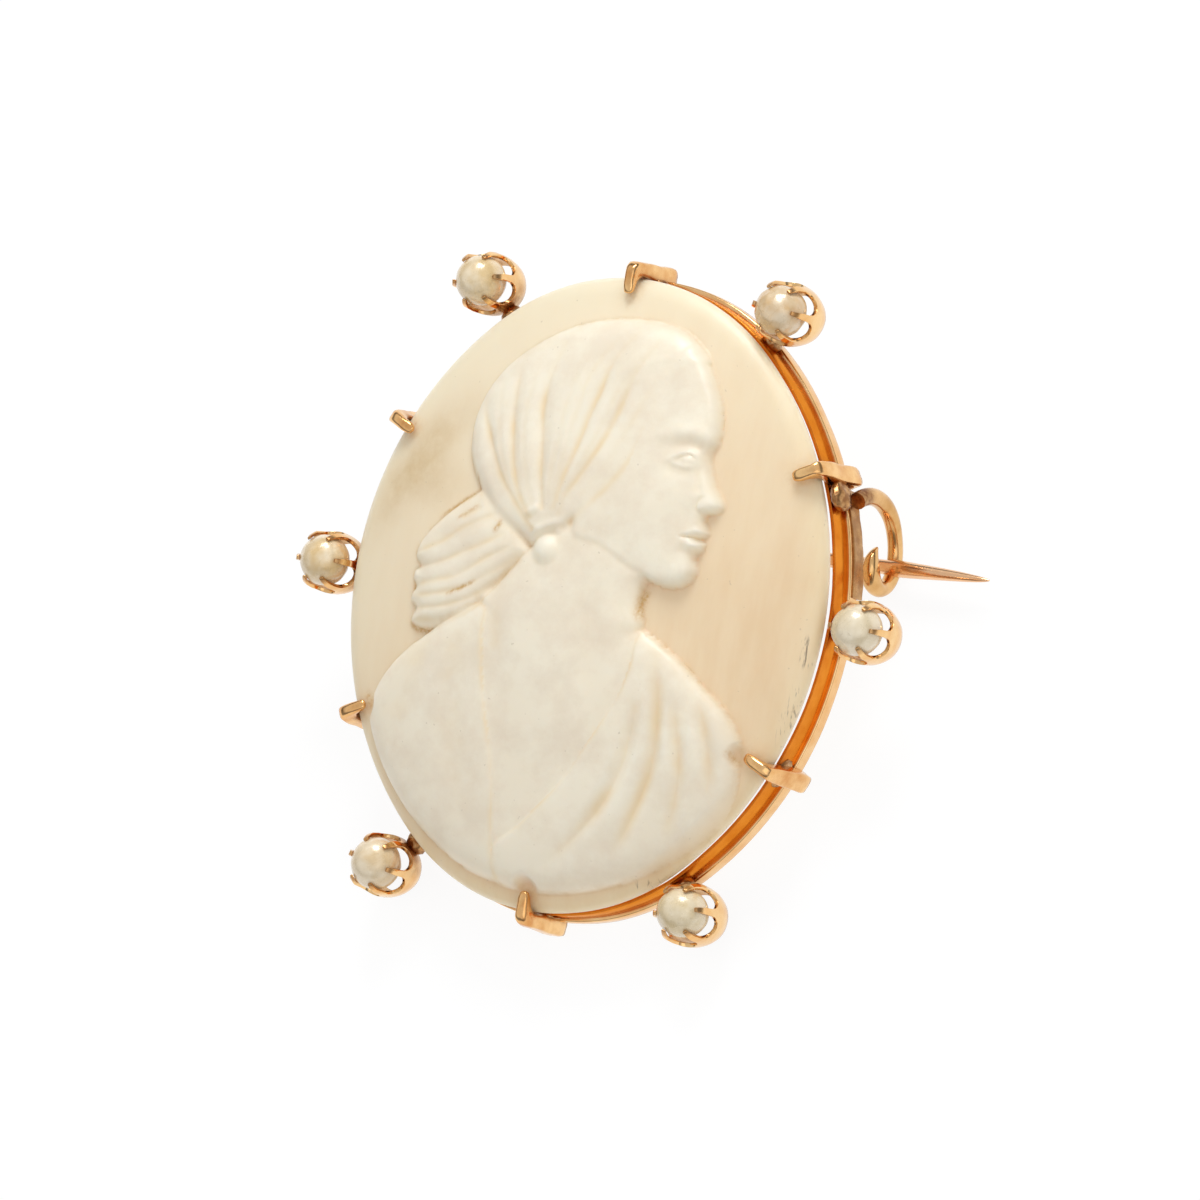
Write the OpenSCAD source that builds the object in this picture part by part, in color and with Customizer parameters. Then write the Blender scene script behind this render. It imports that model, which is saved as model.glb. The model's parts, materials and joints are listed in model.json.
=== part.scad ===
// Oval cameo brooch, lying on its back as it rests on a table.
// It is modelled flat, with x to the right, y to the top, z to the front and z = 0 at the
// front of the shell's edge, and is then tipped onto its catch, its hinge and its lowest claw.

/* [Shell cameo] */
// Width of the shell oval
stone_w = 34; // [30:0.5:38]
// Height of the shell oval
stone_h = 40; // [39:0.5:44]
// Radius of the oval's top and bottom arcs
stone_end_r = 14.5; // [13.5:0.25:15.5]
// Thickness of the shell at its edge
stone_edge = 0.4; // [0.35:0.05:0.8]
// Rise of the domed ground above the edge
dome_rise = 2.8; // [2:0.1:3.4]
// Rise of the hollow in the back of the shell
hollow_rise = 2.2; // [1:0.1:2.6]
// Flat rim round that hollow
hollow_rim = 2.2; // [1.6:0.1:3.5]
// Height of the rounded edge of the ground
edge_roll = 0.5; // [0.3:0.05:0.6]
// Width of the rounded edge of the ground
edge_roll_w = 1.0; // [0.8:0.1:1.5]

/* [Carved relief] */
// Height of the hair above the ground
hair_rise = 1.15; // [0.6:0.05:1.5]
// Height of the face above the ground
face_rise = 0.85; // [0.5:0.05:1.1]
// Height of the neck above the ground
neck_rise = 0.6; // [0.3:0.05:0.9]
// Height of the bust above the ground
bust_rise = 0.85; // [0.5:0.05:1.2]
// Height of the tied hair above the ground
tail_rise = 0.9; // [0.5:0.05:1.2]
// Depth of the cuts between the strands of hair
strand_cut = 0.2; // [0.05:0.05:0.3]
// Depth of the folds of the dress
fold_cut = 0.25; // [0.05:0.05:0.35]

/* [Frame ring] */
// Gap between the shell's edge and the band
slit = 0.4; // [0.3:0.05:0.6]
// Thickness of the band
band_t = 0.45; // [0.35:0.05:0.7]
// Height of the band
band_h = 1.6; // [1.2:0.1:2]
// Height of the rail behind the band
rail_h = 1.0; // [0.8:0.1:1.4]
// How far the rail stands outside the band
rail_out = 0.3; // [0.1:0.05:0.5]
// How far the rail reaches inside the band
rail_in = 0.35; // [0.2:0.05:0.6]

/* [Claws] */
// Width of a claw at its foot
claw_w = 1.3; // [1.1:0.1:1.8]
// Width of a claw at its tip
claw_tip_w = 0.75; // [0.5:0.05:1]
// How far a claw reaches over the shell
claw_reach = 1.2; // [0.9:0.1:1.5]
// How far a claw reaches under the shell
claw_seat = 0.55; // [0.45:0.05:0.8]
// How far a claw stands outside the shell's edge at its foot
claw_out = 1.3; // [1.1:0.1:1.8]
// How far a claw stands outside the shell's edge at its shoulder
claw_shoulder = 0.95; // [0.9:0.05:1.05]
// Radius of a claw's shoulder
claw_round = 0.9; // [0.6:0.05:1.1]
// Height of a claw's shoulder in front of the shell's edge
claw_crown = 1.6; // [1.5:0.05:2]
// How far a claw's foot stands behind the rail
claw_step = 0.2; // [0.1:0.05:0.5]
// Thickness of a claw at its tip
claw_tip_t = 0.55; // [0.3:0.05:0.6]
// Angle from the top of the oval to the claws at the sides
claw_angle = 65; // [60:1:72]

/* [Pearls and collets] */
// Diameter of a pearl
pearl_d = 3.3; // [3:0.1:3.5]
// Gap between a pearl and its claws
pearl_gap = 0.07; // [0.05:0.01:0.12]
// Wall of a collet
collet_wall = 0.3; // [0.25:0.05:0.4]
// Gap between a collet and the shell's edge, seen from the front
collet_gap = 0.48; // [0.45:0.01:0.6]
// Depth of a collet behind the middle of its pearl
collet_depth = 2.8; // [2.6:0.1:3.2]
// Depth of the cuts between a collet's claws, behind the middle of its pearl
window_depth = 1.15; // [0.9:0.05:1.3]
// Width of a claw of a collet
prong_w = 0.6; // [0.5:0.05:0.75]
// Angle from the top of the oval to the upper pearls
pearl_angle = 39; // [36:1:42]

/* [Pin, hinge and catch] */
// Height of the pin above the middle of the brooch
pin_y = 4.7; // [3:0.1:6]
// Diameter of the pin stem
pin_d = 0.92; // [0.8:0.02:1]
// How far the pin's point stands past the catch
pin_past = 7.4; // [7:0.1:10]
// Length of the stem's tapered point
pin_taper = 6.6; // [5:0.2:6.6]
// Radius of the stem's point
pin_point_r = 0.06; // [0.04:0.01:0.12]
// Diameter of the catch wire
catch_wire = 0.96; // [0.8:0.02:1.1]
// Radius of the catch's hook, to the middle of the wire
hook_r = 1.45; // [1.4:0.05:1.6]
// Radius of the catch's loop, to the middle of the wire
loop_r = 3.95; // [3.7:0.05:4.1]
// Depth of the hook's middle behind the shell's edge
hook_depth = 7.25; // [7:0.05:7.6]
// How far the catch wire's middle lies inside the rail's outer face
catch_inset = 0.4; // [0.3:0.05:0.5]
// How far the hinge's middle lies inside the rail's outer face
hinge_inset = 0.8; // [0.6:0.05:1]
// Diameter of the hinge rivet
rivet_d = 0.7; // [0.5:0.05:0.8]
// Wall of the pin's knuckle round the rivet
knuckle_wall = 0.55; // [0.45:0.05:0.6]
// Width of the pin's knuckle
knuckle_w = 1.1; // [0.9:0.1:1.4]
// Thickness of a hinge ear
ear_t = 0.6; // [0.5:0.05:0.8]
// Running gap in the hinge
run_gap = 0.06; // [0.05:0.01:0.09]

/* [Hidden] */
PEARL_NAMES = ["pearl_top_right", "pearl_right", "pearl_low_right",
               "pearl_low_left", "pearl_left", "pearl_top_left"];

// Colours.
GOLD = [0.85, 0.56, 0.29];
SHELL = [0.93, 0.89, 0.80];
PEARL = [0.86, 0.83, 0.74];

// Four arcs make the oval: one at the top and the bottom, and a flatter one at each side.
half_w = stone_w / 2;
half_h = stone_h / 2;
end_y = half_h - stone_end_r;
side_r = (half_w * half_w + end_y * end_y - stone_end_r * stone_end_r) / (2 * (half_w - stone_end_r));
side_x = side_r - half_w;
// Angle from the top where one arc hands over to the next.
arc_turn = atan2(side_x, end_y);
arc_fn = 180;

// Angles of the six claws and the six pearls, clockwise from the top.
CLAW_ANGLES = [0, claw_angle, 180 - claw_angle, 180, claw_angle - 180, -claw_angle];
PEARL_ANGLES = [pearl_angle, 90, 180 - pearl_angle, pearl_angle - 180, -90, -pearl_angle];
// The pearls were soldered on by eye. Columns: how far one has strayed in angle, and outward.
PEARL_STRAYS = [[-1.5, 0], [0, 0], [0, 0], [3, 0.6], [0, 0], [-2, 0.6]];

// Point outside the oval by off, where its outward direction is turned phi from the top.
function top_half(phi) = abs(phi) <= 90;
function from_end(phi) = top_half(phi) ? abs(phi) : 180 - abs(phi);
function oval_x(phi, off) = from_end(phi) < arc_turn
    ? (stone_end_r + off) * sin(phi)
    : (side_r + off) * sin(phi) - side_x * sign(phi);
function oval_y(phi, off) = from_end(phi) < arc_turn
    ? (stone_end_r + off) * cos(phi) + (top_half(phi) ? end_y : -end_y)
    : (side_r + off) * cos(phi);

// Flat outline of the oval, grown outward by off.
module oval(off) {
    cut_y = end_y + (stone_end_r + off) * cos(arc_turn);
    intersection() {
        translate([-side_x, 0]) circle(side_r + off, $fn = arc_fn);
        translate([side_x, 0]) circle(side_r + off, $fn = arc_fn);
        square([stone_w * 2, cut_y * 2], center = true);
    }
    for (s = [-1, 1]) translate([0, s * end_y]) circle(stone_end_r + off, $fn = arc_fn);
}

// Levels in depth, behind the front of the shell's edge.
seat_gap = 0.05;
solder_lap = 0.3;
band_front = -(stone_edge + slit);
band_back = band_front - band_h;
rail_back = band_back - rail_h;
claw_back = rail_back - claw_step;

// Puts a piece at a place round the oval, with its own y axis pointing outward.
module round_oval(phi, off) {
    translate([oval_x(phi, off), oval_y(phi, off), 0]) rotate([0, 0, -phi]) children();
}

// The hinge and the catch stand on the rail at the pin's height.
function side_face(y, off) = sqrt(pow(side_r + off, 2) - y * y) - side_x;
catch_x = side_face(pin_y, rail_out) - catch_inset;
hinge_x = side_face(pin_y, rail_out) - hinge_inset;
pin_len = hinge_x + catch_x + pin_past;

// The resting pose: the tip at which the catch and the lowest claw both touch the table.
pin_r = pin_d / 2;
catch_r = catch_wire / 2;
catch_play = 0.06;
pin_depth = hook_depth + hook_r - catch_r - pin_r - catch_play;
hook_outer = hook_r + catch_r;
claw_foot_y = half_h + claw_out;
foot_dy = claw_foot_y + pin_y;
foot_dz = hook_depth + claw_back;
rest_tip = atan2(foot_dz, foot_dy) + asin(hook_outer / norm([foot_dy, foot_dz]));
rest_lift = hook_outer + hook_depth * cos(rest_tip) - pin_y * sin(rest_tip);
// The hinge ears are as deep as the catch, so that both touch the table.
ear_y = knuckle_w / 2 + run_gap + ear_t;
ear_r = ((pin_y - ear_y) * sin(rest_tip) + rest_lift) / cos(rest_tip) - pin_depth;
// The origin is below the middle of the outer size.
collet_in = pearl_d / 2 + pearl_gap;
collet_out = collet_in + collet_wall;
pearl_off = collet_gap + collet_out;
pin_end_x = pin_len - hinge_x;
origin_x = (pin_end_x - half_w - pearl_off - collet_out) / 2;
shoulder_y = half_h + claw_shoulder - claw_round;
shoulder_z = claw_crown - claw_round;
reach_top = claw_foot_y * cos(rest_tip) - claw_back * sin(rest_tip);
reach_low = shoulder_y * cos(rest_tip) + shoulder_z * sin(rest_tip) + claw_round;
origin_y = (reach_top - reach_low) / 2;

module rest() {
    translate([-origin_x, -origin_y, rest_lift]) rotate([rest_tip, 0, 0]) children();
}

// The carved relief. Outlines are shares of the shell's half width and half height.
// Columns: across, up.
HAIR = [[0.44, 0.64], [0.41, 0.74], [0.32, 0.82], [0.15, 0.865], [-0.06, 0.868], [-0.27, 0.815],
        [-0.43, 0.715], [-0.545, 0.57], [-0.565, 0.43], [-0.50, 0.31], [-0.35, 0.20],
        [-0.19, 0.145], [-0.08, 0.17], [0.07, 0.23], [0.19, 0.31], [0.275, 0.42], [0.35, 0.53]];
FACE = [[0.38, 0.66], [0.47, 0.62], [0.503, 0.55], [0.508, 0.49], [0.487, 0.447], [0.515, 0.395],
        [0.565, 0.32], [0.592, 0.285], [0.57, 0.262], [0.522, 0.256], [0.54, 0.222],
        [0.512, 0.194], [0.527, 0.168], [0.497, 0.146], [0.51, 0.108], [0.485, 0.076],
        [0.42, 0.062], [0.30, 0.085], [0.16, 0.13], [0.05, 0.21], [0.02, 0.34], [0.12, 0.52]];
NECK = [[0.36, 0.11], [0.335, 0.02], [0.345, -0.06], [0.37, -0.13], [0.0, -0.2], [-0.34, -0.12],
        [-0.325, -0.03], [-0.27, 0.05], [-0.19, 0.14], [0.0, 0.22], [0.25, 0.2]];
BUST = [[0.345, -0.075], [0.47, -0.135], [0.60, -0.21], [0.73, -0.30], [0.845, -0.395],
        [0.86, -0.47], [0.80, -0.575], [0.70, -0.69], [0.57, -0.79], [0.42, -0.868],
        [0.25, -0.915], [0.05, -0.935], [-0.15, -0.92], [-0.34, -0.87], [-0.52, -0.785],
        [-0.67, -0.67], [-0.79, -0.535], [-0.845, -0.44], [-0.80, -0.385], [-0.70, -0.295],
        [-0.56, -0.205], [-0.43, -0.135], [-0.325, -0.07], [-0.1, -0.03], [0.15, -0.03]];
TAIL = [[-0.17, 0.21], [-0.33, 0.315], [-0.48, 0.26], [-0.60, 0.19], [-0.67, 0.11],
        [-0.70, 0.03], [-0.685, -0.06], [-0.635, -0.155], [-0.53, -0.175], [-0.42, -0.145],
        [-0.31, -0.05], [-0.21, 0.07], [-0.15, 0.14]];
KNOT = [-0.145, 0.165];
// Widths of the rounded edges of the raised parts.
hair_round = 2.6;
face_round = 1.7;
neck_round = 2.4;
bust_round = 1.8;
tail_round = 1.5;
// Columns: start across, start up, middle across, middle up, end across, end up.
FOLDS = [[-0.31, -0.08, -0.30, -0.42, -0.15, -0.82], [0.28, -0.16, 0.06, -0.50, -0.14, -0.80],
         [0.36, -0.14, 0.34, -0.52, 0.06, -0.86], [0.46, -0.24, 0.46, -0.56, 0.28, -0.80],
         [0.52, -0.34, 0.54, -0.60, 0.44, -0.78], [0.62, -0.38, 0.64, -0.56, 0.59, -0.70]];
// Directions of the strands round the knot, in degrees from the right.
HAIR_STRANDS = [36, 50, 64, 78, 93, 107, 121];
TAIL_STRANDS = [152, 168, 184, 200, 216];
strand_bend = 22;
strand_w = 0.45;
fold_w = 0.6;
knot_r = 1.3;
knot_rise = 1.35;
fade_w = 0.8;

function sized(p) = [p[0] * half_w, p[1] * half_h];
function sized_all(ps) = [for (p = ps) sized(p)];
function clamp01(t) = min(1, max(0, t));
// Quarter round: 0 at the outline, 1 from width w inward.
function swell(d, w) = d <= 0 ? 0 : d >= w ? 1 : sqrt(1 - pow(1 - d / w, 2));
function to_line(p, a, b) = let (ab = b - a) norm(p - a - clamp01(((p - a) * ab) / (ab * ab)) * ab);
function crosses(p, a, b) = (a[1] > p[1]) != (b[1] > p[1])
    && p[0] < a[0] + (b[0] - a[0]) * (p[1] - a[1]) / (b[1] - a[1]) ? 1 : 0;
function sum(v) = v * [for (i = v) 1];
// Depth of a point inside an outline, or 0 outside it.
function depth_in(p, o) = let (n = len(o), hits = sum([for (i = [0:n - 1]) crosses(p, o[i], o[(i + 1) % n])]))
    hits % 2 == 0 ? 0 : min([for (i = [0:n - 1]) to_line(p, o[i], o[(i + 1) % n])]);
function bbox_of(o) = [min([for (p = o) p[0]]), min([for (p = o) p[1]]),
                       max([for (p = o) p[0]]), max([for (p = o) p[1]])];
function in_box(p, b) = p[0] > b[0] && p[0] < b[2] && p[1] > b[1] && p[1] < b[3];
// Raised parts. Columns: outline, its box, rise, width of its rounded edge.
function part_row(o, rise, w) = let (s = sized_all(o)) [s, bbox_of(s), rise, w];
PARTS = [part_row(HAIR, hair_rise, hair_round), part_row(FACE, face_rise, face_round),
         part_row(NECK, neck_rise, neck_round), part_row(BUST, bust_rise, bust_round),
         part_row(TAIL, tail_rise, tail_round)];
function part_height(p, row) = in_box(p, row[1]) ? row[2] * swell(depth_in(p, row[0]), row[3]) : 0;
// A strand is a groove that bends round the knot as it leaves it.
function strand_dip(p, list, sense) = let (
        q = p - sized(KNOT), r = norm(q), a = (atan2(q[1], q[0]) + 360) % 360 + sense * strand_bend * r / half_h)
    sum([for (s = list) exp(-pow((a - s) * PI / 180 * r / strand_w, 2))]) * clamp01((r - knot_r) / knot_r);
function fold_point(f, t) = let (a = sized([f[0], f[1]]), m = sized([f[2], f[3]]), b = sized([f[4], f[5]]))
    a * (1 - t) * (1 - t) + m * 2 * t * (1 - t) + b * t * t;
fold_steps = 5;
FOLD_LINES = [for (f = FOLDS) [for (k = [0:fold_steps]) fold_point(f, k / fold_steps)]];
function fold_dip(p) = sum([for (l = FOLD_LINES)
    exp(-pow(min([for (i = [0:len(l) - 2]) to_line(p, l[i], l[i + 1])]) / fold_w, 2))]);
function relief(p) = let (
        hair = part_height(p, PARTS[0]), face = part_height(p, PARTS[1]), neck = part_height(p, PARTS[2]),
        bust = part_height(p, PARTS[3]), tail = part_height(p, PARTS[4]),
        hair_c = hair > hair_rise / 4 ? hair - strand_cut * strand_dip(p, HAIR_STRANDS, 1) : hair,
        tail_c = tail > tail_rise / 4 ? tail - strand_cut * strand_dip(p, TAIL_STRANDS, -1) : tail,
        bust_c = bust > bust_rise / 4 ? bust - fold_cut * min(1, fold_dip(p)) : bust,
        knot = knot_rise * swell(knot_r - norm(p - sized(KNOT)), knot_r))
    max(hair_c, face, neck, bust_c, tail_c, knot);

// A square grid pulled into the oval: columns run across and rows run up.
GRID_X = 58;
GRID_Y = 66;
function square_to_disc(s, t) = [s * sqrt(1 - t * t / 2), t * sqrt(1 - s * s / 2)];
turn_dir = atan2(oval_x(arc_turn, 0), oval_y(arc_turn - 0.001, 0));
// Distance from the middle to the oval's edge, in the direction a from the top.
function edge_dist(a) = let (q = abs(a) <= 90 ? abs(a) : 180 - abs(a)) q < turn_dir
    ? end_y * cos(q) + sqrt(stone_end_r * stone_end_r - pow(end_y * sin(q), 2))
    : sqrt(side_r * side_r - pow(side_x * cos(q), 2)) - side_x * sin(q);
function in_oval(d) = norm(d) < 0.001 ? [0, 0] : d * edge_dist(atan2(d[0], d[1]));
function ground(share) = dome_rise * (1 - share * share)
    + edge_roll * swell((1 - share) * half_w, edge_roll_w);
// The carving fades out at the edge and stays clear of the claws.
CLAW_LINES = [for (a = CLAW_ANGLES)
    [[oval_x(a, 0), oval_y(a, 0)], [oval_x(a, -claw_reach), oval_y(a, -claw_reach)]]];
function claw_clear(p) = min([for (l = CLAW_LINES) to_line(p, l[0], l[1])]) - claw_w / 2;
function fade(p, share) = clamp01((1 - share) * half_w / fade_w) * clamp01(claw_clear(p) / fade_w);
function face_point(s, t) = let (d = square_to_disc(s, t), p = in_oval(d), share = min(1, norm(d)))
    [p[0], p[1], ground(share) + relief(p) * fade(p, share)];
// The grid's border, once round, as row and column steps.
BORDER = concat([for (i = [0:GRID_X - 1]) i], [for (j = [0:GRID_Y - 1]) j * (GRID_X + 1) + GRID_X],
    [for (i = [GRID_X:-1:1]) GRID_Y * (GRID_X + 1) + i], [for (j = [GRID_Y:-1:1]) j * (GRID_X + 1)]);
// Rings of the back. Columns: share of the oval, share of the hollow's rise.
rim_share = 1 - hollow_rim / half_w;
BACK_RINGS = [[1, 0], [rim_share, 0], [rim_share * 0.72, 0.62], [rim_share * 0.38, 0.93]];

// The shell: its domed and carved front, its thin edge and the hollow in its back.
module cameo_shell() {
    front = [for (j = [0:GRID_Y]) for (i = [0:GRID_X]) face_point(2 * i / GRID_X - 1, 2 * j / GRID_Y - 1)];
    n = len(BORDER);
    rings = [for (r = BACK_RINGS) for (k = BORDER)
        [front[k][0] * r[0], front[k][1] * r[0], hollow_rise * r[1] - stone_edge]];
    base = len(front);
    row = GRID_X + 1;
    faces_front = [for (j = [0:GRID_Y - 1]) for (i = [0:GRID_X - 1]) let (a = j * row + i)
        each [[a, a + row, a + row + 1], [a, a + row + 1, a + 1]]];
    faces_edge = [for (k = [0:n - 1]) let (m = (k + 1) % n)
        each [[BORDER[k], BORDER[m], base + m], [BORDER[k], base + m, base + k]]];
    faces_back = [for (r = [0:len(BACK_RINGS) - 2]) for (k = [0:n - 1])
        let (m = (k + 1) % n, a = base + r * n, b = a + n)
        each [[a + k, a + m, b + m], [a + k, b + m, b + k]]];
    last = base + (len(BACK_RINGS) - 1) * n;
    middle = last + n;
    faces_middle = [for (k = [0:n - 1]) [last + k, last + (k + 1) % n, middle]];
    color(SHELL) rest() polyhedron(
        points = concat(front, rings, [[0, 0, hollow_rise - stone_edge]]),
        faces = concat(faces_front, faces_edge, faces_back, faces_middle));
}

// The ring: a plain band with a wider rail behind it.
module ring() {
    translate([0, 0, band_back - 0.05]) linear_extrude(band_h + 0.05) difference() {
        oval(0);
        oval(-band_t);
    }
    translate([0, 0, rail_back]) linear_extrude(rail_h) difference() {
        oval(rail_out);
        oval(-band_t - rail_in);
    }
}

// A claw: a fin soldered to the outside of the ring, whose tip is bent over the shell.
// Its side view is drawn outward from the shell's edge and forward.
function ground_at(inward) = ground(1 - inward / half_w);
module claw() {
    under_steps = 5;
    under = [for (k = [0:under_steps]) let (d = claw_reach * k / under_steps)
        [seat_gap - d, ground_at(d) + seat_gap]];
    tip = [seat_gap - claw_reach, ground_at(claw_reach) + seat_gap + claw_tip_t];
    shoulder = [for (a = [95:-15:5])
        [claw_shoulder - claw_round + claw_round * cos(a), shoulder_z + claw_round * sin(a)]];
    foot_in = -band_t / 2;
    side = concat([[-claw_seat, -stone_edge - seat_gap], [seat_gap, -stone_edge - seat_gap]], under,
        [tip], shoulder, [[claw_out, claw_back], [foot_in, claw_back], [foot_in, band_front],
        [-claw_seat, band_front]]);
    tip_r = claw_tip_w / 2;
    intersection() {
        translate([-claw_w, 0, 0]) rotate([90, 0, 90]) linear_extrude(claw_w * 2) polygon(side);
        translate([0, 0, claw_back - claw_w]) linear_extrude(claw_crown - claw_back + claw_w * 2) union() {
            translate([0, tip_r - claw_reach]) circle(tip_r, $fn = 32);
            polygon([[-tip_r, tip_r - claw_reach], [-claw_w / 2, 0], [-claw_w / 2, claw_out + claw_w],
                     [claw_w / 2, claw_out + claw_w], [claw_w / 2, 0], [tip_r, tip_r - claw_reach]]);
        }
    }
}

// Puts a piece in the place of one of the pearls.
module at_pearl(k) {
    round_oval(PEARL_ANGLES[k] + PEARL_STRAYS[k][0], pearl_off + PEARL_STRAYS[k][1]) children();
}

// A pearl's collet: an open-backed ring cut into six claws, with its tips bent over the pearl.
prong_count = 6;
module collet() {
    tip_z = collet_in * 0.62;
    tip_r = sqrt(collet_in * collet_in - tip_z * tip_z) + 0.03;
    back_in = collet_in * 0.84;
    wall = [[back_in, -window_depth], [collet_in, -window_depth + 0.3], [collet_in, 0],
            [collet_in * 0.95 + 0.02, collet_in * 0.36], [tip_r, tip_z],
            [tip_r + collet_wall * 0.75, tip_z + collet_wall * 0.6],
            [collet_out * 0.97, collet_in * 0.4], [collet_out, 0], [collet_out, -window_depth - 0.35],
            [collet_out * 0.96, -collet_depth * 0.8], [collet_out * 0.84, -collet_depth],
            [back_in, -collet_depth]];
    pitch_w = collet_out * 2 * sin(180 / prong_count) - prong_w;
    win_r = pitch_w / 2;
    difference() {
        rotate_extrude($fn = 64) polygon(wall);
        for (k = [0:prong_count / 2 - 1]) rotate([0, 0, (k + 0.5) * 360 / prong_count]) {
            translate([-collet_out * 1.5, 0, win_r - window_depth]) rotate([0, 90, 0])
                cylinder(r = win_r, h = collet_out * 3, $fn = 48);
            translate([-collet_out * 1.5, -win_r, win_r - window_depth])
                cube([collet_out * 3, pitch_w, collet_in * 2]);
        }
    }
}

// The stub of solder that holds a collet to the ring, seen from the middle of its pearl.
module collet_stub(stray) {
    stub_w = 1.3;
    stub_inset = 0.1;
    stub_end = -collet_out + collet_wall * 0.8;
    stub_start = -(pearl_off + stray) - band_t / 2;
    translate([-stub_w / 2, stub_start, -collet_depth + stub_inset])
        cube([stub_w, stub_end - stub_start, collet_depth - window_depth - stub_inset * 2]);
}

// The catch: a foot along the rail, a wide loop of wire behind it and a hook round the pin.
module wire_arc(r, from, turn) {
    rotate([0, 90, 0]) rotate([0, 0, from]) rotate_extrude(angle = turn, $fn = 96)
        translate([r, 0]) circle(catch_r, $fn = 32);
}

module catch_hook() {
    loop_depth = hook_depth + hook_r - loop_r;
    loop_turn = 120;
    hook_turn = 228;
    foot_run = catch_wire * 1.9;
    foot_low = pin_y - foot_run;
    foot_top = pin_y + loop_r * sin(loop_turn) + catch_r;
    foot_front = band_back - solder_lap;
    foot_back = rail_back - catch_r * 1.25;
    translate([catch_x, pin_y, -loop_depth]) wire_arc(loop_r, 0, loop_turn);
    translate([catch_x, pin_y, -hook_depth]) wire_arc(hook_r, -hook_turn, hook_turn);
    translate([catch_x - catch_r, foot_low, foot_back])
        cube([catch_wire, foot_top - foot_low, foot_front - foot_back]);
}

// The two ears of the hinge, with a bore for the rivet.
module hinge_ears() {
    ear_front = band_back - solder_lap;
    leg_w = ear_r * 1.7;
    for (s = [0, 1]) mirror([0, s, 0]) translate([0, knuckle_w / 2 + run_gap, 0])
        rotate([90, 0, 0]) mirror([0, 0, 1]) linear_extrude(ear_t) difference() {
            union() {
                translate([0, -pin_depth]) circle(ear_r, $fn = 64);
                translate([-leg_w / 2, -pin_depth]) square([leg_w, pin_depth + ear_front]);
            }
            translate([0, -pin_depth]) circle(rivet_d / 2 + run_gap / 2, $fn = 48);
        }
}

// All the gold that is soldered together: ring, claws, collets, catch and hinge ears.
module gold_setting() {
    color(GOLD) rest() {
        ring();
        for (a = CLAW_ANGLES) round_oval(a, 0) claw();
        for (k = [0:len(PEARL_NAMES) - 1]) {
            at_pearl(k) collet();
            at_pearl(k) collet_stub(PEARL_STRAYS[k][1]);
        }
        catch_hook();
        translate([-hinge_x, pin_y, 0]) hinge_ears();
    }
}

// The rivet of the hinge, whose heads lie outside the ears.
module hinge_rivet() {
    head_t = rivet_d * 0.36;
    head_r = rivet_d * 0.8;
    side = ear_y + run_gap / 2;
    color(GOLD) rest() translate([-hinge_x, pin_y, -pin_depth]) rotate([-90, 0, 0]) {
        translate([0, 0, -side]) cylinder(d = rivet_d, h = side * 2, $fn = 48);
        for (s = [0, 1]) mirror([0, 0, s]) translate([0, 0, side]) cylinder(r = head_r, h = head_t, $fn = 48);
    }
}

// The pin: a knuckle on the rivet, a straight stem and a long point.
module pin_stem() {
    knuckle_r = rivet_d / 2 + knuckle_wall;
    color(GOLD) rest() translate([-hinge_x, pin_y, -pin_depth]) difference() {
        union() {
            rotate([90, 0, 0]) cylinder(r = knuckle_r, h = knuckle_w, center = true, $fn = 64);
            rotate([0, 90, 0]) cylinder(r = pin_r, h = pin_len - pin_taper, $fn = 48);
            translate([pin_len - pin_taper, 0, 0]) rotate([0, 90, 0])
                cylinder(r1 = pin_r, r2 = pin_point_r, h = pin_taper, $fn = 48);
        }
        rotate([90, 0, 0]) cylinder(r = rivet_d / 2 + run_gap, h = knuckle_w * 2, center = true, $fn = 48);
    }
}

module pearl(k) {
    color(PEARL) rest() at_pearl(k) sphere(d = pearl_d, $fn = 64);
}

cameo_shell();
gold_setting();
hinge_rivet();
pin_stem();
for (k = [0:len(PEARL_NAMES) - 1]) pearl(k);
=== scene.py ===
import json
import math
import random

import bpy
import numpy as np
from mathutils import Matrix, Vector, noise


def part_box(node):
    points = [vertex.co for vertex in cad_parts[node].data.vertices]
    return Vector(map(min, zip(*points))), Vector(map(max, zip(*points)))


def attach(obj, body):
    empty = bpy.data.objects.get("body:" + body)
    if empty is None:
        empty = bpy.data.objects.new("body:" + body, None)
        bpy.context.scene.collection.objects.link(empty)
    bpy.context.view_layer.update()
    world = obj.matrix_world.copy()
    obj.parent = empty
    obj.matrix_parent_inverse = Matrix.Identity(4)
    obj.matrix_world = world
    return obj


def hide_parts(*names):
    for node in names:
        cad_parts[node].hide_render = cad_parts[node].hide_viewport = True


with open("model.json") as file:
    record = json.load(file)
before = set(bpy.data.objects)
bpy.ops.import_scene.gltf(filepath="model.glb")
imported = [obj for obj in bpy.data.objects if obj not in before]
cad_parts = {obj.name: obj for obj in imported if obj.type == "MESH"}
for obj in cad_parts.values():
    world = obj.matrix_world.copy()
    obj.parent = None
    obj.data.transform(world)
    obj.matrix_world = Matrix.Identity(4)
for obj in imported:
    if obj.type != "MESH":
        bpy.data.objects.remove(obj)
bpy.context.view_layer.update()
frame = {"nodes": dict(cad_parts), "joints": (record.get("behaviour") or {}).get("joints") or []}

# The brooch lies on its back, tipped onto its catch, its hinge and its lowest claw. Every piece below is made
# flat, in millimetres, with x to the right, y to the top and z to the front of the oval and the origin in the
# middle of the shell's edge, and is then laid down. The hinge gives the tip, and the side pearls the middle.
hinge = frame["joints"][0]
tip = math.atan2(hinge["axis"][2], hinge["axis"][1])


def centre_of(node):
    low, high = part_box(node)
    return (low + high) / 2


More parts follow.
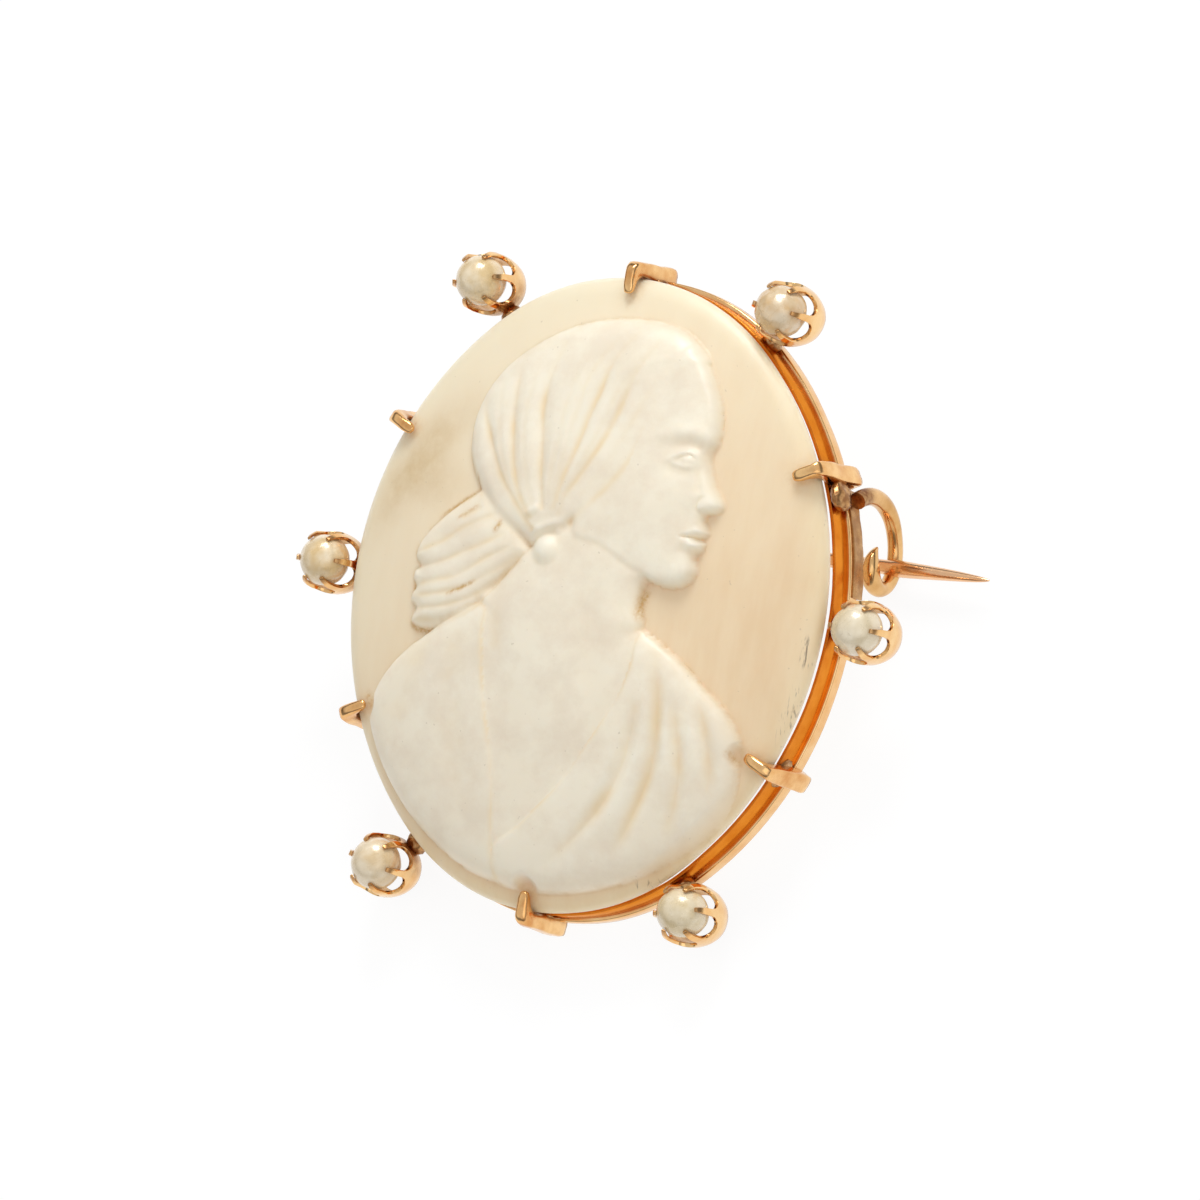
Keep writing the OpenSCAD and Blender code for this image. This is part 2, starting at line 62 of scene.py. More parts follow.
middle = (centre_of("pearl_left") + centre_of("pearl_right")) / 2
TURN = Matrix.Rotation(tip, 4, "X")
LAY_DOWN = Matrix.Translation(middle) @ TURN @ Matrix.Scale(0.001, 4)

# The view: a long lens on the photograph's line of sight. Two directions are given in the flat brooch's own
# axes: towards the camera, and to the right in the picture.
TOWARDS = Vector((0.514, -0.0645, 0.855)).normalized()
RIGHT = Vector((0.851, 0.169, -0.498))
camera_mm = 600
sensor_mm = 36
picture_mm = 74.6
middle_right_of_picture = -0.84
middle_above_picture = 0.34

right = (RIGHT - TOWARDS * RIGHT.dot(TOWARDS)).normalized()
up = TOWARDS.cross(right)
camera_data = bpy.data.cameras.new("camera")
camera_data.sensor_width = sensor_mm
camera_data.lens = sensor_mm * camera_mm / picture_mm
camera_data.clip_start = 0.01
camera = bpy.data.objects.new("camera", camera_data)
aim = -right * middle_right_of_picture - up * middle_above_picture
turned = Matrix((right, up, TOWARDS)).transposed().to_4x4()
camera.matrix_world = (Matrix.Translation(middle) @ TURN
                       @ Matrix.Translation((aim + TOWARDS * camera_mm) / 1000) @ turned)
bpy.context.scene.collection.objects.link(camera)
bpy.context.scene.camera = camera
bpy.context.scene.view_settings.view_transform = "Standard"

# The table top and the light: a white table that is lit from below, in a white tent with a darker strip round
# it for the gold to mirror. One soft light stands at the top of the picture, and a weaker one at its right.
floor_side = 3.0


# Shader maths: a value wraps a node's socket, so that sums and products of values add their Math nodes.
class Value:
    def __init__(self, tree, socket):
        self.tree = tree
        self.socket = socket

    def math(self, operation, *others):
        return node(self.tree, "ShaderNodeMath", {"operation": operation}, [self, *others])

    def __add__(self, other):
        return self.math("ADD", other)

    def __mul__(self, other):
        return self.math("MULTIPLY", other)

    __radd__ = __add__
    __rmul__ = __mul__


def node(tree, kind, settings=None, inputs=(), output=0):
    """Adds a node of that kind with its settings, and fills its sockets, by place or by name."""
    made = tree.nodes.new(kind)
    for key, value in (settings or {}).items():
        setattr(made, key, value)
    pairs = inputs.items() if isinstance(inputs, dict) else enumerate(inputs)
    for key, value in pairs:
        if isinstance(value, Value):
            tree.links.new(value.socket, made.inputs[key])
        else:
            made.inputs[key].default_value = value
    return Value(tree, made.outputs[output])


def ramp(value, stops):
    """Colours or greys along a value."""
    made = node(value.tree, "ShaderNodeValToRGB", {}, [value])
    table = value.tree.nodes[-1].color_ramp
    while len(table.elements) < len(stops):
        table.elements.new(1)
    for element, (place, colour) in zip(table.elements, stops):
        element.position = place
        element.color = (*colour, 1)
    return made


def grey(amount):
    return (amount, amount, amount)


def climb(value, start, end, low=0.0, high=1.0):
    """A grey that climbs from low to high while the value goes from start to end."""
    return ramp(value, [(start, grey(low)), (end, grey(high))])


def new_material(name, **constants):
    """A material with constants set on its shader. Gives the material, its tree and its shader."""
    material = bpy.data.materials.new(name)
    material.use_nodes = True
    tree = material.node_tree
    shader = tree.nodes["Principled BSDF"]
    for key, value in constants.items():
        shader.inputs[key.replace("_", " ")].default_value = value
    return material, tree, shader


def place_mm(tree):
    """The place on the object, in millimetres."""
    place = node(tree, "ShaderNodeTexCoord", {}, (), output="Object")
    return node(tree, "ShaderNodeVectorMath", {"operation": "SCALE"}, {0: place, "Scale": 1000.0})


def grain(tree, size_mm, detail=3.0, rough=0.5, finer=(1, 1, 1)):
    """Noise with lumps of that size, made finer along each axis by that factor."""
    place = node(tree, "ShaderNodeVectorMath", {"operation": "MULTIPLY"}, [place_mm(tree), finer])
    sockets = {"Vector": place, "Scale": 1 / size_mm, "Detail": detail, "Roughness": rough}
    return node(tree, "ShaderNodeTexNoise", {}, sockets, "Fac")


def feed(shader, **links):
    for key, value in links.items():
        value.tree.links.new(value.socket, shader.inputs[key.replace("_", " ")])


bpy.ops.mesh.primitive_plane_add(size=floor_side, location=(0, 0, 0))
floor = bpy.context.object
floor.name = "floor"
floor_material, floor_tree, floor_shader = new_material(
    "pale_floor", Roughness=0.9, Specular_IOR_Level=0.1,
    Emission_Color=(1, 1, 1, 1), Emission_Strength=0.90)
feed(floor_shader, Base_Color=climb(grain(floor_tree, 40), 0.3, 0.7, 0.10, 0.13))
# The table has an upper side alone, so that the back of the brooch can be looked at from below.
from_below = node(floor_tree, "ShaderNodeNewGeometry", {}, (), "Backfacing")
table_top = Value(floor_tree, floor_shader.outputs["BSDF"])
nothing = node(floor_tree, "ShaderNodeBsdfTransparent")
one_sided = node(floor_tree, "ShaderNodeMixShader", {}, [from_below, table_top, nothing])
floor_tree.links.new(one_sided.socket, floor_tree.nodes["Material Output"].inputs["Surface"])
floor.data.materials.append(floor_material)

world = bpy.data.worlds.new("tent")
bpy.context.scene.world = world
world.use_nodes = True
sky = world.node_tree
sky_place = node(sky, "ShaderNodeTexCoord", {}, (), "Generated")
sky_height = node(sky, "ShaderNodeSeparateXYZ", {}, [sky_place], "Z")
# Greys of the tent, from 0 straight below through 0.5 on the level to 1 straight above.
tent_greys = [(0.49, 1.0), (0.5, 0.6), (0.58, 0.22), (0.67, 0.26), (0.775, 0.95), (0.9, 0.9), (1.0, 0.8)]
tent = ramp(0.5 * sky_height + 0.5, [(place, grey(light)) for place, light in tent_greys])
sky.links.new(tent.socket, sky.nodes["Background"].inputs["Color"])
sky.nodes["Background"].inputs["Strength"].default_value = 0.85


def soft_light(name, place_m, side_m, power):
    """A square area light that faces the brooch."""
    light = bpy.data.lights.new(name, "AREA")
    light.size = side_m
    light.energy = power
    lamp = bpy.data.objects.new(name, light)
    lamp.location = place_m
    lamp.rotation_mode = "QUATERNION"
    lamp.rotation_quaternion = Vector(place_m).to_track_quat("Z", "Y")
    bpy.context.scene.collection.objects.link(lamp)


soft_light("key", place_m=(0.02, 0.44, 0.34), side_m=0.22, power=1.65)
soft_light("fill", place_m=(0.50, -0.20, 0.38), side_m=0.55, power=0.5)


# The carved shell. It is one piece of conch or helmet shell, ground to a thin dome that is hollow behind. The
# head and shoulders stand about a millimetre proud of the translucent ground, and the edge is rounded off.
half_w = 17.0
half_h = 20.0
end_r = 14.5
end_y = half_h - end_r
side_r = (half_w ** 2 + end_y ** 2 - end_r ** 2) / (2 * (half_w - end_r))
side_x = side_r - half_w
arc_turn = math.atan2(side_x, end_y)
shell_edge = 0.4
dome_rise = 2.8
hollow_rise = 2.2
hollow_rim = 2.2
edge_roll = 0.5
edge_roll_w = 1.0
lock_cut = 0.30
fine_lock_cut = 0.055
tail_lock_cut = 0.21
cloak_rise = 0.13
tie_r = 1.25
tie_rise = 1.16

# Outlines of the raised parts.
HAIR = [(6.9, 15.0), (6.2, 15.9), (4.7, 16.85), (2.5, 17.35), (-0.3, 17.2), (-3.0, 16.5), (-5.1, 15.4),
        (-6.8, 14.1), (-7.9, 12.8), (-8.6, 11.4), (-8.9, 9.8), (-8.7, 7.9), (-8.0, 6.5), (-7.0, 5.2),
        (-5.4, 3.7), (-3.6, 2.8), (-2.2, 2.2), (-1.0, 2.7), (0.6, 3.7), (2.3, 5.3), (3.45, 7.4), (3.9, 9.6),
        (4.5, 11.5), (5.6, 13.4), (6.3, 14.3)]
FACE = [(5.2, 16.0), (6.35, 15.45), (7.15, 14.6), (7.8, 13.6), (8.35, 12.5), (8.7, 11.3), (8.78, 10.3),
        (8.46, 9.4), (8.66, 8.6), (9.2, 7.5), (9.86, 6.6), (9.95, 6.15), (9.6, 5.78), (9.04, 5.56),
        (9.06, 5.1), (9.34, 4.6), (9.26, 4.3), (8.98, 4.1), (9.26, 3.86), (9.26, 3.48), (8.92, 3.14),
        (8.9, 2.75), (9.08, 2.2), (8.92, 1.5), (8.35, 0.98), (7.4, 0.82), (6.2, 1.05), (4.6, 1.7),
        (2.6, 2.7), (0.4, 3.4), (0.2, 8.0), (3.0, 13.0)]
NECK = [(6.1, 1.6), (5.85, 0.6), (5.85, -0.6), (6.2, -2.0), (4.5, -5.0), (0.0, -8.0), (-4.2, -6.0),
        (-5.7, -1.5), (-4.4, -0.2), (-3.4, 1.1), (-2.3, 2.4), (0.5, 4.2), (4.0, 3.4)]
BUST = [(6.15, -1.9), (7.5, -2.6), (9.4, -3.8), (10.8, -5.0), (12.1, -6.0), (13.0, -7.1), (13.5, -8.1),
        (13.5, -9.4), (13.3, -11.3), (12.3, -13.3), (10.7, -15.0), (8.9, -16.3), (6.1, -17.7), (2.8, -18.6),
        (0.2, -18.85), (-3.0, -18.5), (-6.0, -17.4), (-9.2, -15.3), (-11.7, -12.7), (-13.2, -10.2),
        (-13.4, -8.8), (-13.0, -7.5), (-12.2, -6.3), (-10.9, -5.0), (-9.2, -3.8), (-7.6, -2.6), (-5.6, -1.4),
        (-3.0, -0.6), (3.0, -0.6)]
CLOAK_LEFT = [(-5.2, -1.6), (-4.6, -3.6), (-4.0, -6.7), (-3.0, -10.5), (-2.5, -13.2), (-2.4, -16.6),
              (-2.6, -18.6), (-8.5, -16.9), (-12.6, -13.0), (-15.5, -9.0), (-13.8, -7.0), (-9.6, -3.2)]
CLOAK_RIGHT = [(6.3, -1.6), (6.1, -4.2), (5.6, -6.2), (4.6, -8.1), (2.3, -11.9), (-0.6, -15.0),
               (-2.4, -16.7), (-1.2, -19.2), (5.0, -19.0), (11.4, -15.9), (15.8, -9.0), (13.6, -6.9),
               (10.6, -4.2), (7.4, -2.1)]
TAIL = [(-2.4, 2.2), (-3.2, 1.0), (-4.2, -0.3), (-5.0, -1.4), (-6.0, -2.5), (-7.4, -3.2), (-9.2, -3.65),
        (-10.7, -3.5), (-10.95, -3.0), (-10.7, -2.4), (-11.2, -2.0), (-11.25, -1.5), (-10.95, -1.1),
        (-11.3, -0.6), (-11.25, 0.0), (-10.9, 0.25), (-11.4, 0.8), (-11.3, 1.6), (-10.7, 2.5), (-9.9, 3.3),
        (-9.1, 4.0), (-7.9, 4.9), (-6.6, 5.5), (-4.6, 4.4)]
# Creases between the locks, from the crown to the tie.
LOCKS = [[(-8.3, 11.4), (-7.6, 9.9), (-6.5, 8.1), (-5.2, 6.2), (-3.4, 4.4), (-2.1, 3.1)],
         [(-5.9, 13.9), (-5.6, 11.2), (-5.2, 9.2), (-4.6, 7.3), (-3.7, 5.4), (-2.4, 3.8)],
         [(-3.0, 15.6), (-3.4, 13.1), (-3.4, 11.1), (-2.9, 9.0), (-2.4, 6.9), (-1.7, 4.4)],
         [(2.0, 16.6), (0.8, 14.3), (0.5, 12.6), (0.1, 10.7), (-0.2, 8.8), (-0.7, 6.7), (-0.9, 4.4)],
         [(3.6, 16.2), (2.6, 13.9), (2.1, 11.8), (1.6, 9.7), (0.7, 7.5), (-0.2, 5.8), (-0.7, 4.2)],
         [(4.2, 10.8), (3.6, 8.4), (2.7, 6.8), (1.7, 5.5), (0.0, 3.8)],
         [(-8.9, 9.0), (-8.0, 6.4), (-7.0, 5.0), (-5.4, 3.5), (-3.6, 2.7), (-2.2, 2.1)]]
FINE_LOCKS = [[(-7.0, 12.4), (-6.6, 10.4), (-5.9, 8.4), (-4.8, 6.4), (-2.9, 4.0)],
              [(-4.4, 13.6), (-4.5, 11.0), (-4.1, 8.6), (-3.4, 6.6), (-2.2, 4.3)],
              [(-1.4, 14.4), (-1.6, 11.6), (-1.6, 9.0), (-1.6, 6.6), (-1.4, 4.6)],
              [(0.6, 15.8), (-0.5, 13.4), (-0.8, 10.6), (-1.0, 7.8), (-1.2, 5.2)],
              [(5.2, 15.4), (3.9, 13.0), (3.1, 10.6), (2.4, 8.6), (1.4, 6.7), (0.0, 4.5)],
              [(3.0, 14.9), (1.7, 12.4), (1.1, 10.0), (0.3, 7.4), (-0.6, 5.2)]]
TAIL_LOCKS = [
    [(-5.2, 4.0), (-6.5, 3.5), (-7.8, 2.8), (-8.8, 2.1), (-9.8, 1.6), (-11.6, 0.95)],
    [(-4.2, 2.9), (-5.9, 2.0), (-7.0, 1.5), (-8.1, 1.0), (-9.3, 0.5), (-11.3, 0.1)],
    [(-3.3, 2.3), (-5.4, 1.2), (-6.5, 0.4), (-7.6, -0.2), (-8.8, -0.5), (-11.3, -1.1)],
    [(-2.6, 1.9), (-4.4, 0.6), (-5.4, 0.0), (-6.6, -0.7), (-7.8, -1.1), (-9.1, -1.4), (-11.3, -1.7)],
    [(-2.6, 1.8), (-3.9, 0.3), (-5.0, -0.6), (-6.1, -1.3), (-7.3, -1.8), (-8.7, -2.2), (-11.0, -2.5)],
    [(-2.9, 1.4), (-3.8, 0.0), (-4.8, -1.2), (-5.7, -2.0), (-6.8, -2.6), (-8.7, -3.0), (-10.8, -3.1)],
    [(-7.9, 3.5), (-7.2, 3.9), (-6.4, 4.3)]]
# Folds of the dress. Columns: the line, its width, its depth.
FOLDS = [([(6.9, -6.2), (6.8, -7.7), (6.6, -9.2), (6.2, -10.8), (5.3, -12.8), (3.8, -14.9), (1.4, -17.3)],
          0.40, 0.22),
         ([(7.4, -2.9), (8.2, -5.7), (8.4, -8.5), (8.1, -11.1), (7.0, -14.2), (6.0, -16.2)], 0.40, 0.21),
         ([(9.3, -6.0), (9.9, -8.8), (10.1, -11.0), (9.7, -14.6)], 0.38, 0.19),
         ([(10.8, -5.6), (11.5, -7.8), (12.0, -9.9), (11.9, -11.6)], 0.36, 0.17),
         ([(-4.1, -1.5), (-3.7, -3.0), (-3.4, -4.6)], 0.40, 0.10),
         ([(-6.4, -2.4), (-6.6, -6.5), (-6.0, -10.6), (-4.6, -15.4)], 0.90, 0.07),
         ([(-8.6, -3.8), (-10.4, -7.6), (-11.2, -11.4)], 1.10, 0.08)]
# Modelling of the face, in a plain classical manner. Columns: the line, its width, its height or depth.
FEATURES = [([(8.5, 10.2), (7.5, 10.6), (6.2, 10.5), (5.1, 9.9)], 0.45, 0.12),
            ([(8.2, 9.5), (7.3, 9.8), (6.1, 9.5)], 0.36, -0.14),
            ([(8.0, 9.05), (7.5, 9.32), (6.8, 9.12), (6.1, 8.62)], 0.16, 0.15),
            ([(7.75, 8.82), (7.35, 8.82)], 0.36, 0.15),
            ([(7.95, 8.95), (7.4, 9.1), (6.7, 8.86)], 0.09, -0.08),
            ([(7.85, 8.42), (7.2, 8.38), (6.3, 8.6)], 0.13, 0.10),
            ([(7.7, 8.0), (6.9, 7.9), (6.1, 8.2)], 0.30, -0.06),
            ([(8.15, 8.6), (8.3, 7.7), (8.5, 6.8)], 0.34, -0.09),
            ([(9.05, 6.05), (8.95, 6.0)], 0.28, 0.08),
            ([(8.85, 6.66), (8.58, 6.35), (8.56, 5.9), (8.78, 5.62)], 0.12, -0.13),
            ([(9.2, 4.52), (8.8, 4.48), (8.25, 4.22)], 0.20, 0.10),
            ([(9.1, 3.66), (8.75, 3.6), (8.3, 3.88)], 0.21, 0.10),
            ([(9.0, 4.09), (8.6, 4.12), (7.95, 4.04)], 0.10, -0.17),
            ([(8.75, 3.02), (8.2, 3.2)], 0.28, -0.08),
            ([(8.4, 2.0), (8.2, 1.8)], 0.60, 0.10),
            ([(6.3, 6.6), (5.8, 6.0)], 1.50, 0.13),
            ([(7.8, 5.6), (7.5, 4.7)], 0.45, -0.04)]
# Wide soft forms at the temple, the neck and the chest, with the same columns.
WIDE_FORMS = [([(4.8, 12.2), (5.2, 9.6)], 0.9, -0.06),
              ([(2.4, -0.6), (3.2, -3.4), (3.4, -6.0)], 1.0, -0.10),
              ([(-1.4, -2.0), (0.4, -7.6)], 2.4, 0.12),
              ([(0.6, 1.6), (4.2, 0.0)], 1.0, -0.05)]
TIE = (-1.05, 2.1)
TIE_STRANDS = [[(-2.1, 3.2), (-1.3, 3.6), (-0.3, 4.0)], [(-0.4, 3.3), (0.2, 2.9)], [(-2.7, 4.3), (-2.2, 4.6)]]
EDGE_CRACKS = [[(16.35, -4.2), (16.1, -5.3), (15.8, -6.8), (15.85, -7.6)], [(16.5, -1.2), (16.55, -2.4)],
               [(12.6, -13.7), (11.9, -14.5)], [(8.6, -17.2), (7.6, -17.6)]]
# Where dirt has stayed in the carving, and one line of painted shade along the front of the neck. Columns:
# the line that it fills, its width, its strength.
DIRT_AND_SHADE = [([(-7.55, 6.3), (-7.25, 5.6), (-7.35, 5.2)], 0.15, 1.0),
        ([(-7.3, 5.25), (-8.6, 4.45), (-10.0, 3.45)], 0.18, 1.0),
        ([(-6.9, 4.3), (-8.1, 3.5)], 0.14, 0.6),
        ([(-5.05, 3.0), (-4.85, 3.5)], 0.17, 1.0),
        ([(-6.0, -0.35), (-6.9, -0.85), (-8.0, -1.35)], 0.14, 1.0),
        ([(-11.15, -0.8), (-11.15, -1.5)], 0.15, 1.0),
        ([(-9.0, -3.7), (-10.2, -3.75), (-11.0, -3.4)], 0.18, 0.9),
        # Painted shade: the dark line along the front of the neck.
        ([(5.95, -1.4), (5.9, -0.4), (6.15, 0.5)], 0.24, 0.9),
        ([(-13.9, -8.2), (-13.6, -8.7)], 0.30, 0.8),
        ([(13.0, -8.7), (13.4, -9.2)], 0.20, 0.7)]


def through(points, closed=False, steps=6):
    """Points along a smooth line through the given ones."""
    points = np.array(points, float)
    count = len(points)
    before = np.roll(points, 1, 0) if closed else np.vstack([points[:1], points[:-1]])
    after = np.roll(points, -1, 0) if closed else np.vstack([points[1:], points[-1:]])
    later = np.roll(points, -2, 0) if closed else np.vstack([after[1:], points[-1:]])
    spans = count if closed else count - 1
    line = []
    for k in range(spans):
        for t in np.arange(steps) / steps:
            a, b, c, d = before[k], points[k], after[k], later[k]
            line.append(0.5 * (2 * b + (c - a) * t + (2 * a - 5 * b + 4 * c - d) * t ** 2
                               + (3 * b - a - 3 * c + d) * t ** 3))
    if not closed:
        line.append(points[-1])
    return np.array(line)


def distance_to(line, x, y, closed=False):
    """Distance of each place from a line, and how far along the line its nearest point is, from 0 to 1."""
    nearest = np.full(x.shape, 1e9)
    along = np.zeros(x.shape)
    spans = len(line) if closed else len(line) - 1
    for k in range(spans):
        a = line[k]
        b = line[(k + 1) % len(line)]
        step = b - a
        t = np.clip(((x - a[0]) * step[0] + (y - a[1]) * step[1]) / max(step @ step, 1e-12), 0, 1)
        gap = np.hypot(x - a[0] - t * step[0], y - a[1] - t * step[1])
        closer = gap < nearest
        nearest = np.where(closer, gap, nearest)
        along = np.where(closer, (k + t) / spans, along)
    return nearest, along


def depth_inside(outline, x, y):
    """Depth of each place inside a closed outline, and 0 outside it."""
    line = through(outline, closed=True)
    inside = np.zeros(x.shape, bool)
    for k in range(len(line)):
        a, b = line[k - 1], line[k]
        rises = (a[1] > y) != (b[1] > y)
        slope = (b[0] - a[0]) / (b[1] - a[1] if b[1] != a[1] else 1e-9)
        inside ^= rises & (x < a[0] + slope * (y - a[1]))
    return np.where(inside, distance_to(line, x, y, closed=True)[0], 0)


def swell(depth, width):
    """A quarter round: 0 at the outline, 1 from that width inward."""
    return np.sqrt(1 - (1 - np.clip(depth / width, 0, 1)) ** 2)


def raised(outline, x, y, rise, edge, crown, edge_share):
    """A raised part with a crisp rounded edge and a wide soft crown. Gives its height and depth inside."""
    depth = depth_inside(outline, x, y)
    return rise * (edge_share * swell(depth, edge) + (1 - edge_share) * swell(depth, crown)), depth


def merged(first, second, width):
    """The higher of two heights, with a soft bend where they meet."""
    bend = np.maximum(width - abs(first - second), 0) ** 2 / (4 * width)
    return np.maximum(first, second) + bend * np.clip(np.minimum(first, second) / 0.3, 0, 1)


def stroke(points, width, x, y, taper=0.2):
    """A rounded ridge along a line, that thins out at both ends."""
    gap, along = distance_to(through(points), x, y)
    ends = np.clip(np.minimum(along, 1 - along) / taper, 0, 1)
    return np.exp(-(gap / width) ** 2) * (0.35 + 0.65 * ends if len(points) > 2 else 1)


def locks(lines, x, y, rise_in, thin_out):
    """Rounded locks between creases: how low each place lies in its crease, and how near it is to one."""
    gaps, alongs = zip(*[distance_to(through(line), x, y) for line in lines])
    gaps = np.array(gaps)
    nearest = np.argmin(gaps, 0)
    ordered = np.sort(gaps, 0)
    across = 2 * ordered[0] / (ordered[0] + ordered[1] + 1e-9)
    along = np.take_along_axis(np.array(alongs), nearest[None], 0)[0]
    fade = np.clip(along / rise_in, 0, 1) * np.clip((1 - along) / thin_out, 0, 1)
    width = np.clip((ordered[0] + ordered[1]) / 2.0, 0, 1)
    crease = (1 - across) ** 2.2 * np.clip(1.6 - ordered[0], 0, 1)
    return crease * fade * width, np.exp(-(ordered[0] / 0.22) ** 2) * fade


def carve(x, y):
    """Height of the carving above the ground, with masks for its figure and its grooves."""
    hair, hair_depth = raised(HAIR, x, y, rise=1.20, edge=1.2, crown=5.5, edge_share=0.38)
    face, face_depth = raised(FACE, x, y, rise=0.98, edge=0.6, crown=3.0, edge_share=0.62)
    neck = raised(NECK, x, y, rise=0.86, edge=0.9, crown=3.0, edge_share=0.50)[0]
    bust, bust_depth = raised(BUST, x, y, rise=0.86, edge=1.4, crown=4.0, edge_share=0.50)
    tail, tail_depth = raised(TAIL, x, y, rise=0.82, edge=1.1, crown=2.6, edge_share=0.45)
    on_hair, on_face, on_bust, on_tail = hair_depth > 0, face_depth > 0, bust_depth > 0, tail_depth > 0

    # The hair: rounded locks between deep creases, and a few finer lines in them.
    low, near = locks(LOCKS, x, y, rise_in=0.35, thin_out=0.04)
    hair = hair - lock_cut * low * on_hair * swell(hair_depth, 0.5)
    grooves = near * on_hair
    for points in FINE_LOCKS:
        dip = stroke(points, 0.20, x, y, 0.5) * on_hair
        hair = hair - fine_lock_cut * dip
        grooves = np.maximum(grooves, 0.25 * dip)
    low, near = locks(TAIL_LOCKS, x, y, rise_in=0.12, thin_out=0.10)
    tail = tail - tail_lock_cut * low * on_tail
    grooves = np.maximum(grooves, 0.8 * near * on_tail)
    tie_gap = np.hypot(x - TIE[0], (y - TIE[1]) * 0.95)
    tie = tie_rise * swell(tie_r - tie_gap, tie_r) ** 1.3
    for points in TIE_STRANDS:
        hair = hair + 0.16 * stroke(points, 0.24, x, y) * on_hair

    # The face: brow, lids, nose, lips, cheek and chin.
    for points, width, height in FEATURES:
        face = face + height * stroke(points, width, x, y) * on_face

    # The dress: both sides of the cloak lie over the open neck, and each fold is a valley between two lips.
    for outline in (CLOAK_LEFT, CLOAK_RIGHT):
        depth = depth_inside(outline, x, y)
        bust = bust + on_bust * (cloak_rise * swell(depth, 0.40) + 0.05 * swell(depth, 2.0))
        grooves = np.maximum(grooves, 0.8 * on_bust * (depth > 0) * np.exp(-(depth / 0.25) ** 2))
    for points, width, depth in FOLDS:
        gap, along = distance_to(through(points), x, y)
        ends = np.clip(np.minimum(along, 1 - along) / 0.3, 0, 1) * swell(bust_depth, 1.0) * on_bust
        valley = np.clip(1 - gap / (width * 2.0), 0, 1) ** 1.5
        lips = np.exp(-((gap - width * 2.1) / (width * 1.3)) ** 2)
        bust = bust - ends * depth * (valley - 0.30 * lips)
        grooves = np.maximum(grooves, np.exp(-(gap / width) ** 2) * ends * depth / 0.2)

    height = merged(merged(face, neck, 0.40), merged(bust, tail, 0.12), 0.12)
    for points, width, amount in WIDE_FORMS:
        height = height + amount * stroke(points, width, x, y) * (height > 0.2)
    height = merged(merged(height, hair, 0.30), tie, 0.22)
    return height, np.clip(height / 0.9, 0, 1) ** 0.6, grooves


def reach(angle):
    """Distance from the middle to the shell's edge, at an angle from the top."""
    turn = math.atan2(end_r * math.sin(arc_turn), end_y + end_r * math.cos(arc_turn))
    a = np.abs(angle)
    a = np.where(a > math.pi / 2, math.pi - a, a)
    by_end = end_y * np.cos(a) + np.sqrt(np.maximum(end_r ** 2 - (end_y * np.sin(a)) ** 2, 0))
    by_side = np.sqrt(side_r ** 2 - (side_x * np.cos(a)) ** 2) - side_x * np.sin(a)
    return np.where(a < turn, by_end, by_side)


columns = 256
rows = 300
bpy.ops.mesh.primitive_grid_add(x_subdivisions=columns, y_subdivisions=rows, size=2)
shell = bpy.context.object


def read_points(mesh):
    flat = np.empty(len(mesh.vertices) * 3)
    mesh.vertices.foreach_get("co", flat)
    return flat.reshape(-1, 3)


def write_points(mesh, points):
    mesh.vertices.foreach_set("co", np.asarray(points, float).ravel())
    mesh.update()


# The flat grid is pulled round into the oval, and then raised to the carved dome.
square = read_points(shell.data)
s, t = square[:, 0], square[:, 1]
disc_x = s * np.sqrt(1 - t ** 2 / 2)
disc_y = t * np.sqrt(1 - s ** 2 / 2)
out = reach(np.arctan2(disc_x, disc_y))
share = np.clip(np.hypot(disc_x, disc_y), 0, 1)
x, y = disc_x * out, disc_y * out
ground = dome_rise * (1 - share ** 2) + edge_roll * swell((1 - share) * half_w, edge_roll_w)
height, figure, grooves = carve(x, y)
fade = np.clip((1 - share) * half_w / 0.9, 0, 1)
claw_angles = [math.radians(a) for a in (0, 65, 115, 180, -115, -65)]


def oval_point(angle, out=0.0):
    """Place outside the oval by that much, where outward is turned by angle from the top."""
    from_end = min(abs(angle), math.pi - abs(angle))
    if from_end < arc_turn:
        end = end_y if abs(angle) < math.pi / 2 else -end_y
        return Vector(((end_r + out) * math.sin(angle), end + (end_r + out) * math.cos(angle), 0))
    side = math.copysign(side_x, angle)
    return Vector(((side_r + out) * math.sin(angle) - side, (side_r + out) * math.cos(angle), 0))


for angle in claw_angles:
    line = np.array([oval_point(angle)[:2], oval_point(angle, -1.2)[:2]])
    fade = fade * np.clip((distance_to(line, x, y)[0] - 0.45) / 0.55, 0, 1)
write_points(shell.data, np.stack([x, y, ground + height * fade], 1))

# The edge wall and the hollow back: the rim is pulled down and then inward in steps.
bpy.ops.object.mode_set(mode="EDIT")
bpy.ops.mesh.select_all(action="DESELECT")
bpy.ops.mesh.select_mode(type="EDGE")
bpy.ops.mesh.select_non_manifold()
border = 2 * (columns + rows)
rim_share = 1 - hollow_rim / half_w
back_steps = [(0.997, 0.0), (rim_share, 0.0)] + [
    (rim_share * c, hollow_rise * (1 - c ** 2)) for c in (0.9, 0.75, 0.58, 0.4, 0.2)]
for _ in back_steps:
    bpy.ops.mesh.extrude_region_move()
bpy.ops.object.mode_set(mode="OBJECT")
points = read_points(shell.data)
front_count = len(square)
for step, (size, rise) in enumerate(back_steps):
    part = slice(front_count + step * border, front_count + (step + 1) * border)
    points[part, :2] *= size
    points[part, 2] = rise - shell_edge
write_points(shell.data, points)
bpy.ops.object.mode_set(mode="EDIT")
bpy.ops.mesh.edge_face_add()
bpy.ops.mesh.poke()
bpy.ops.mesh.select_all(action="SELECT")
bpy.ops.mesh.normals_make_consistent(inside=False)
bpy.ops.object.mode_set(mode="OBJECT")


def paint(obj, name, values):
    """Stores a value on each point of the mesh; points past the list's end get 0."""
    stored = obj.data.attributes.new(name, "FLOAT", "POINT")
    full = np.zeros(len(obj.data.vertices), np.float32)
    full[:len(values)] = values
    stored.data.foreach_set("value", full)


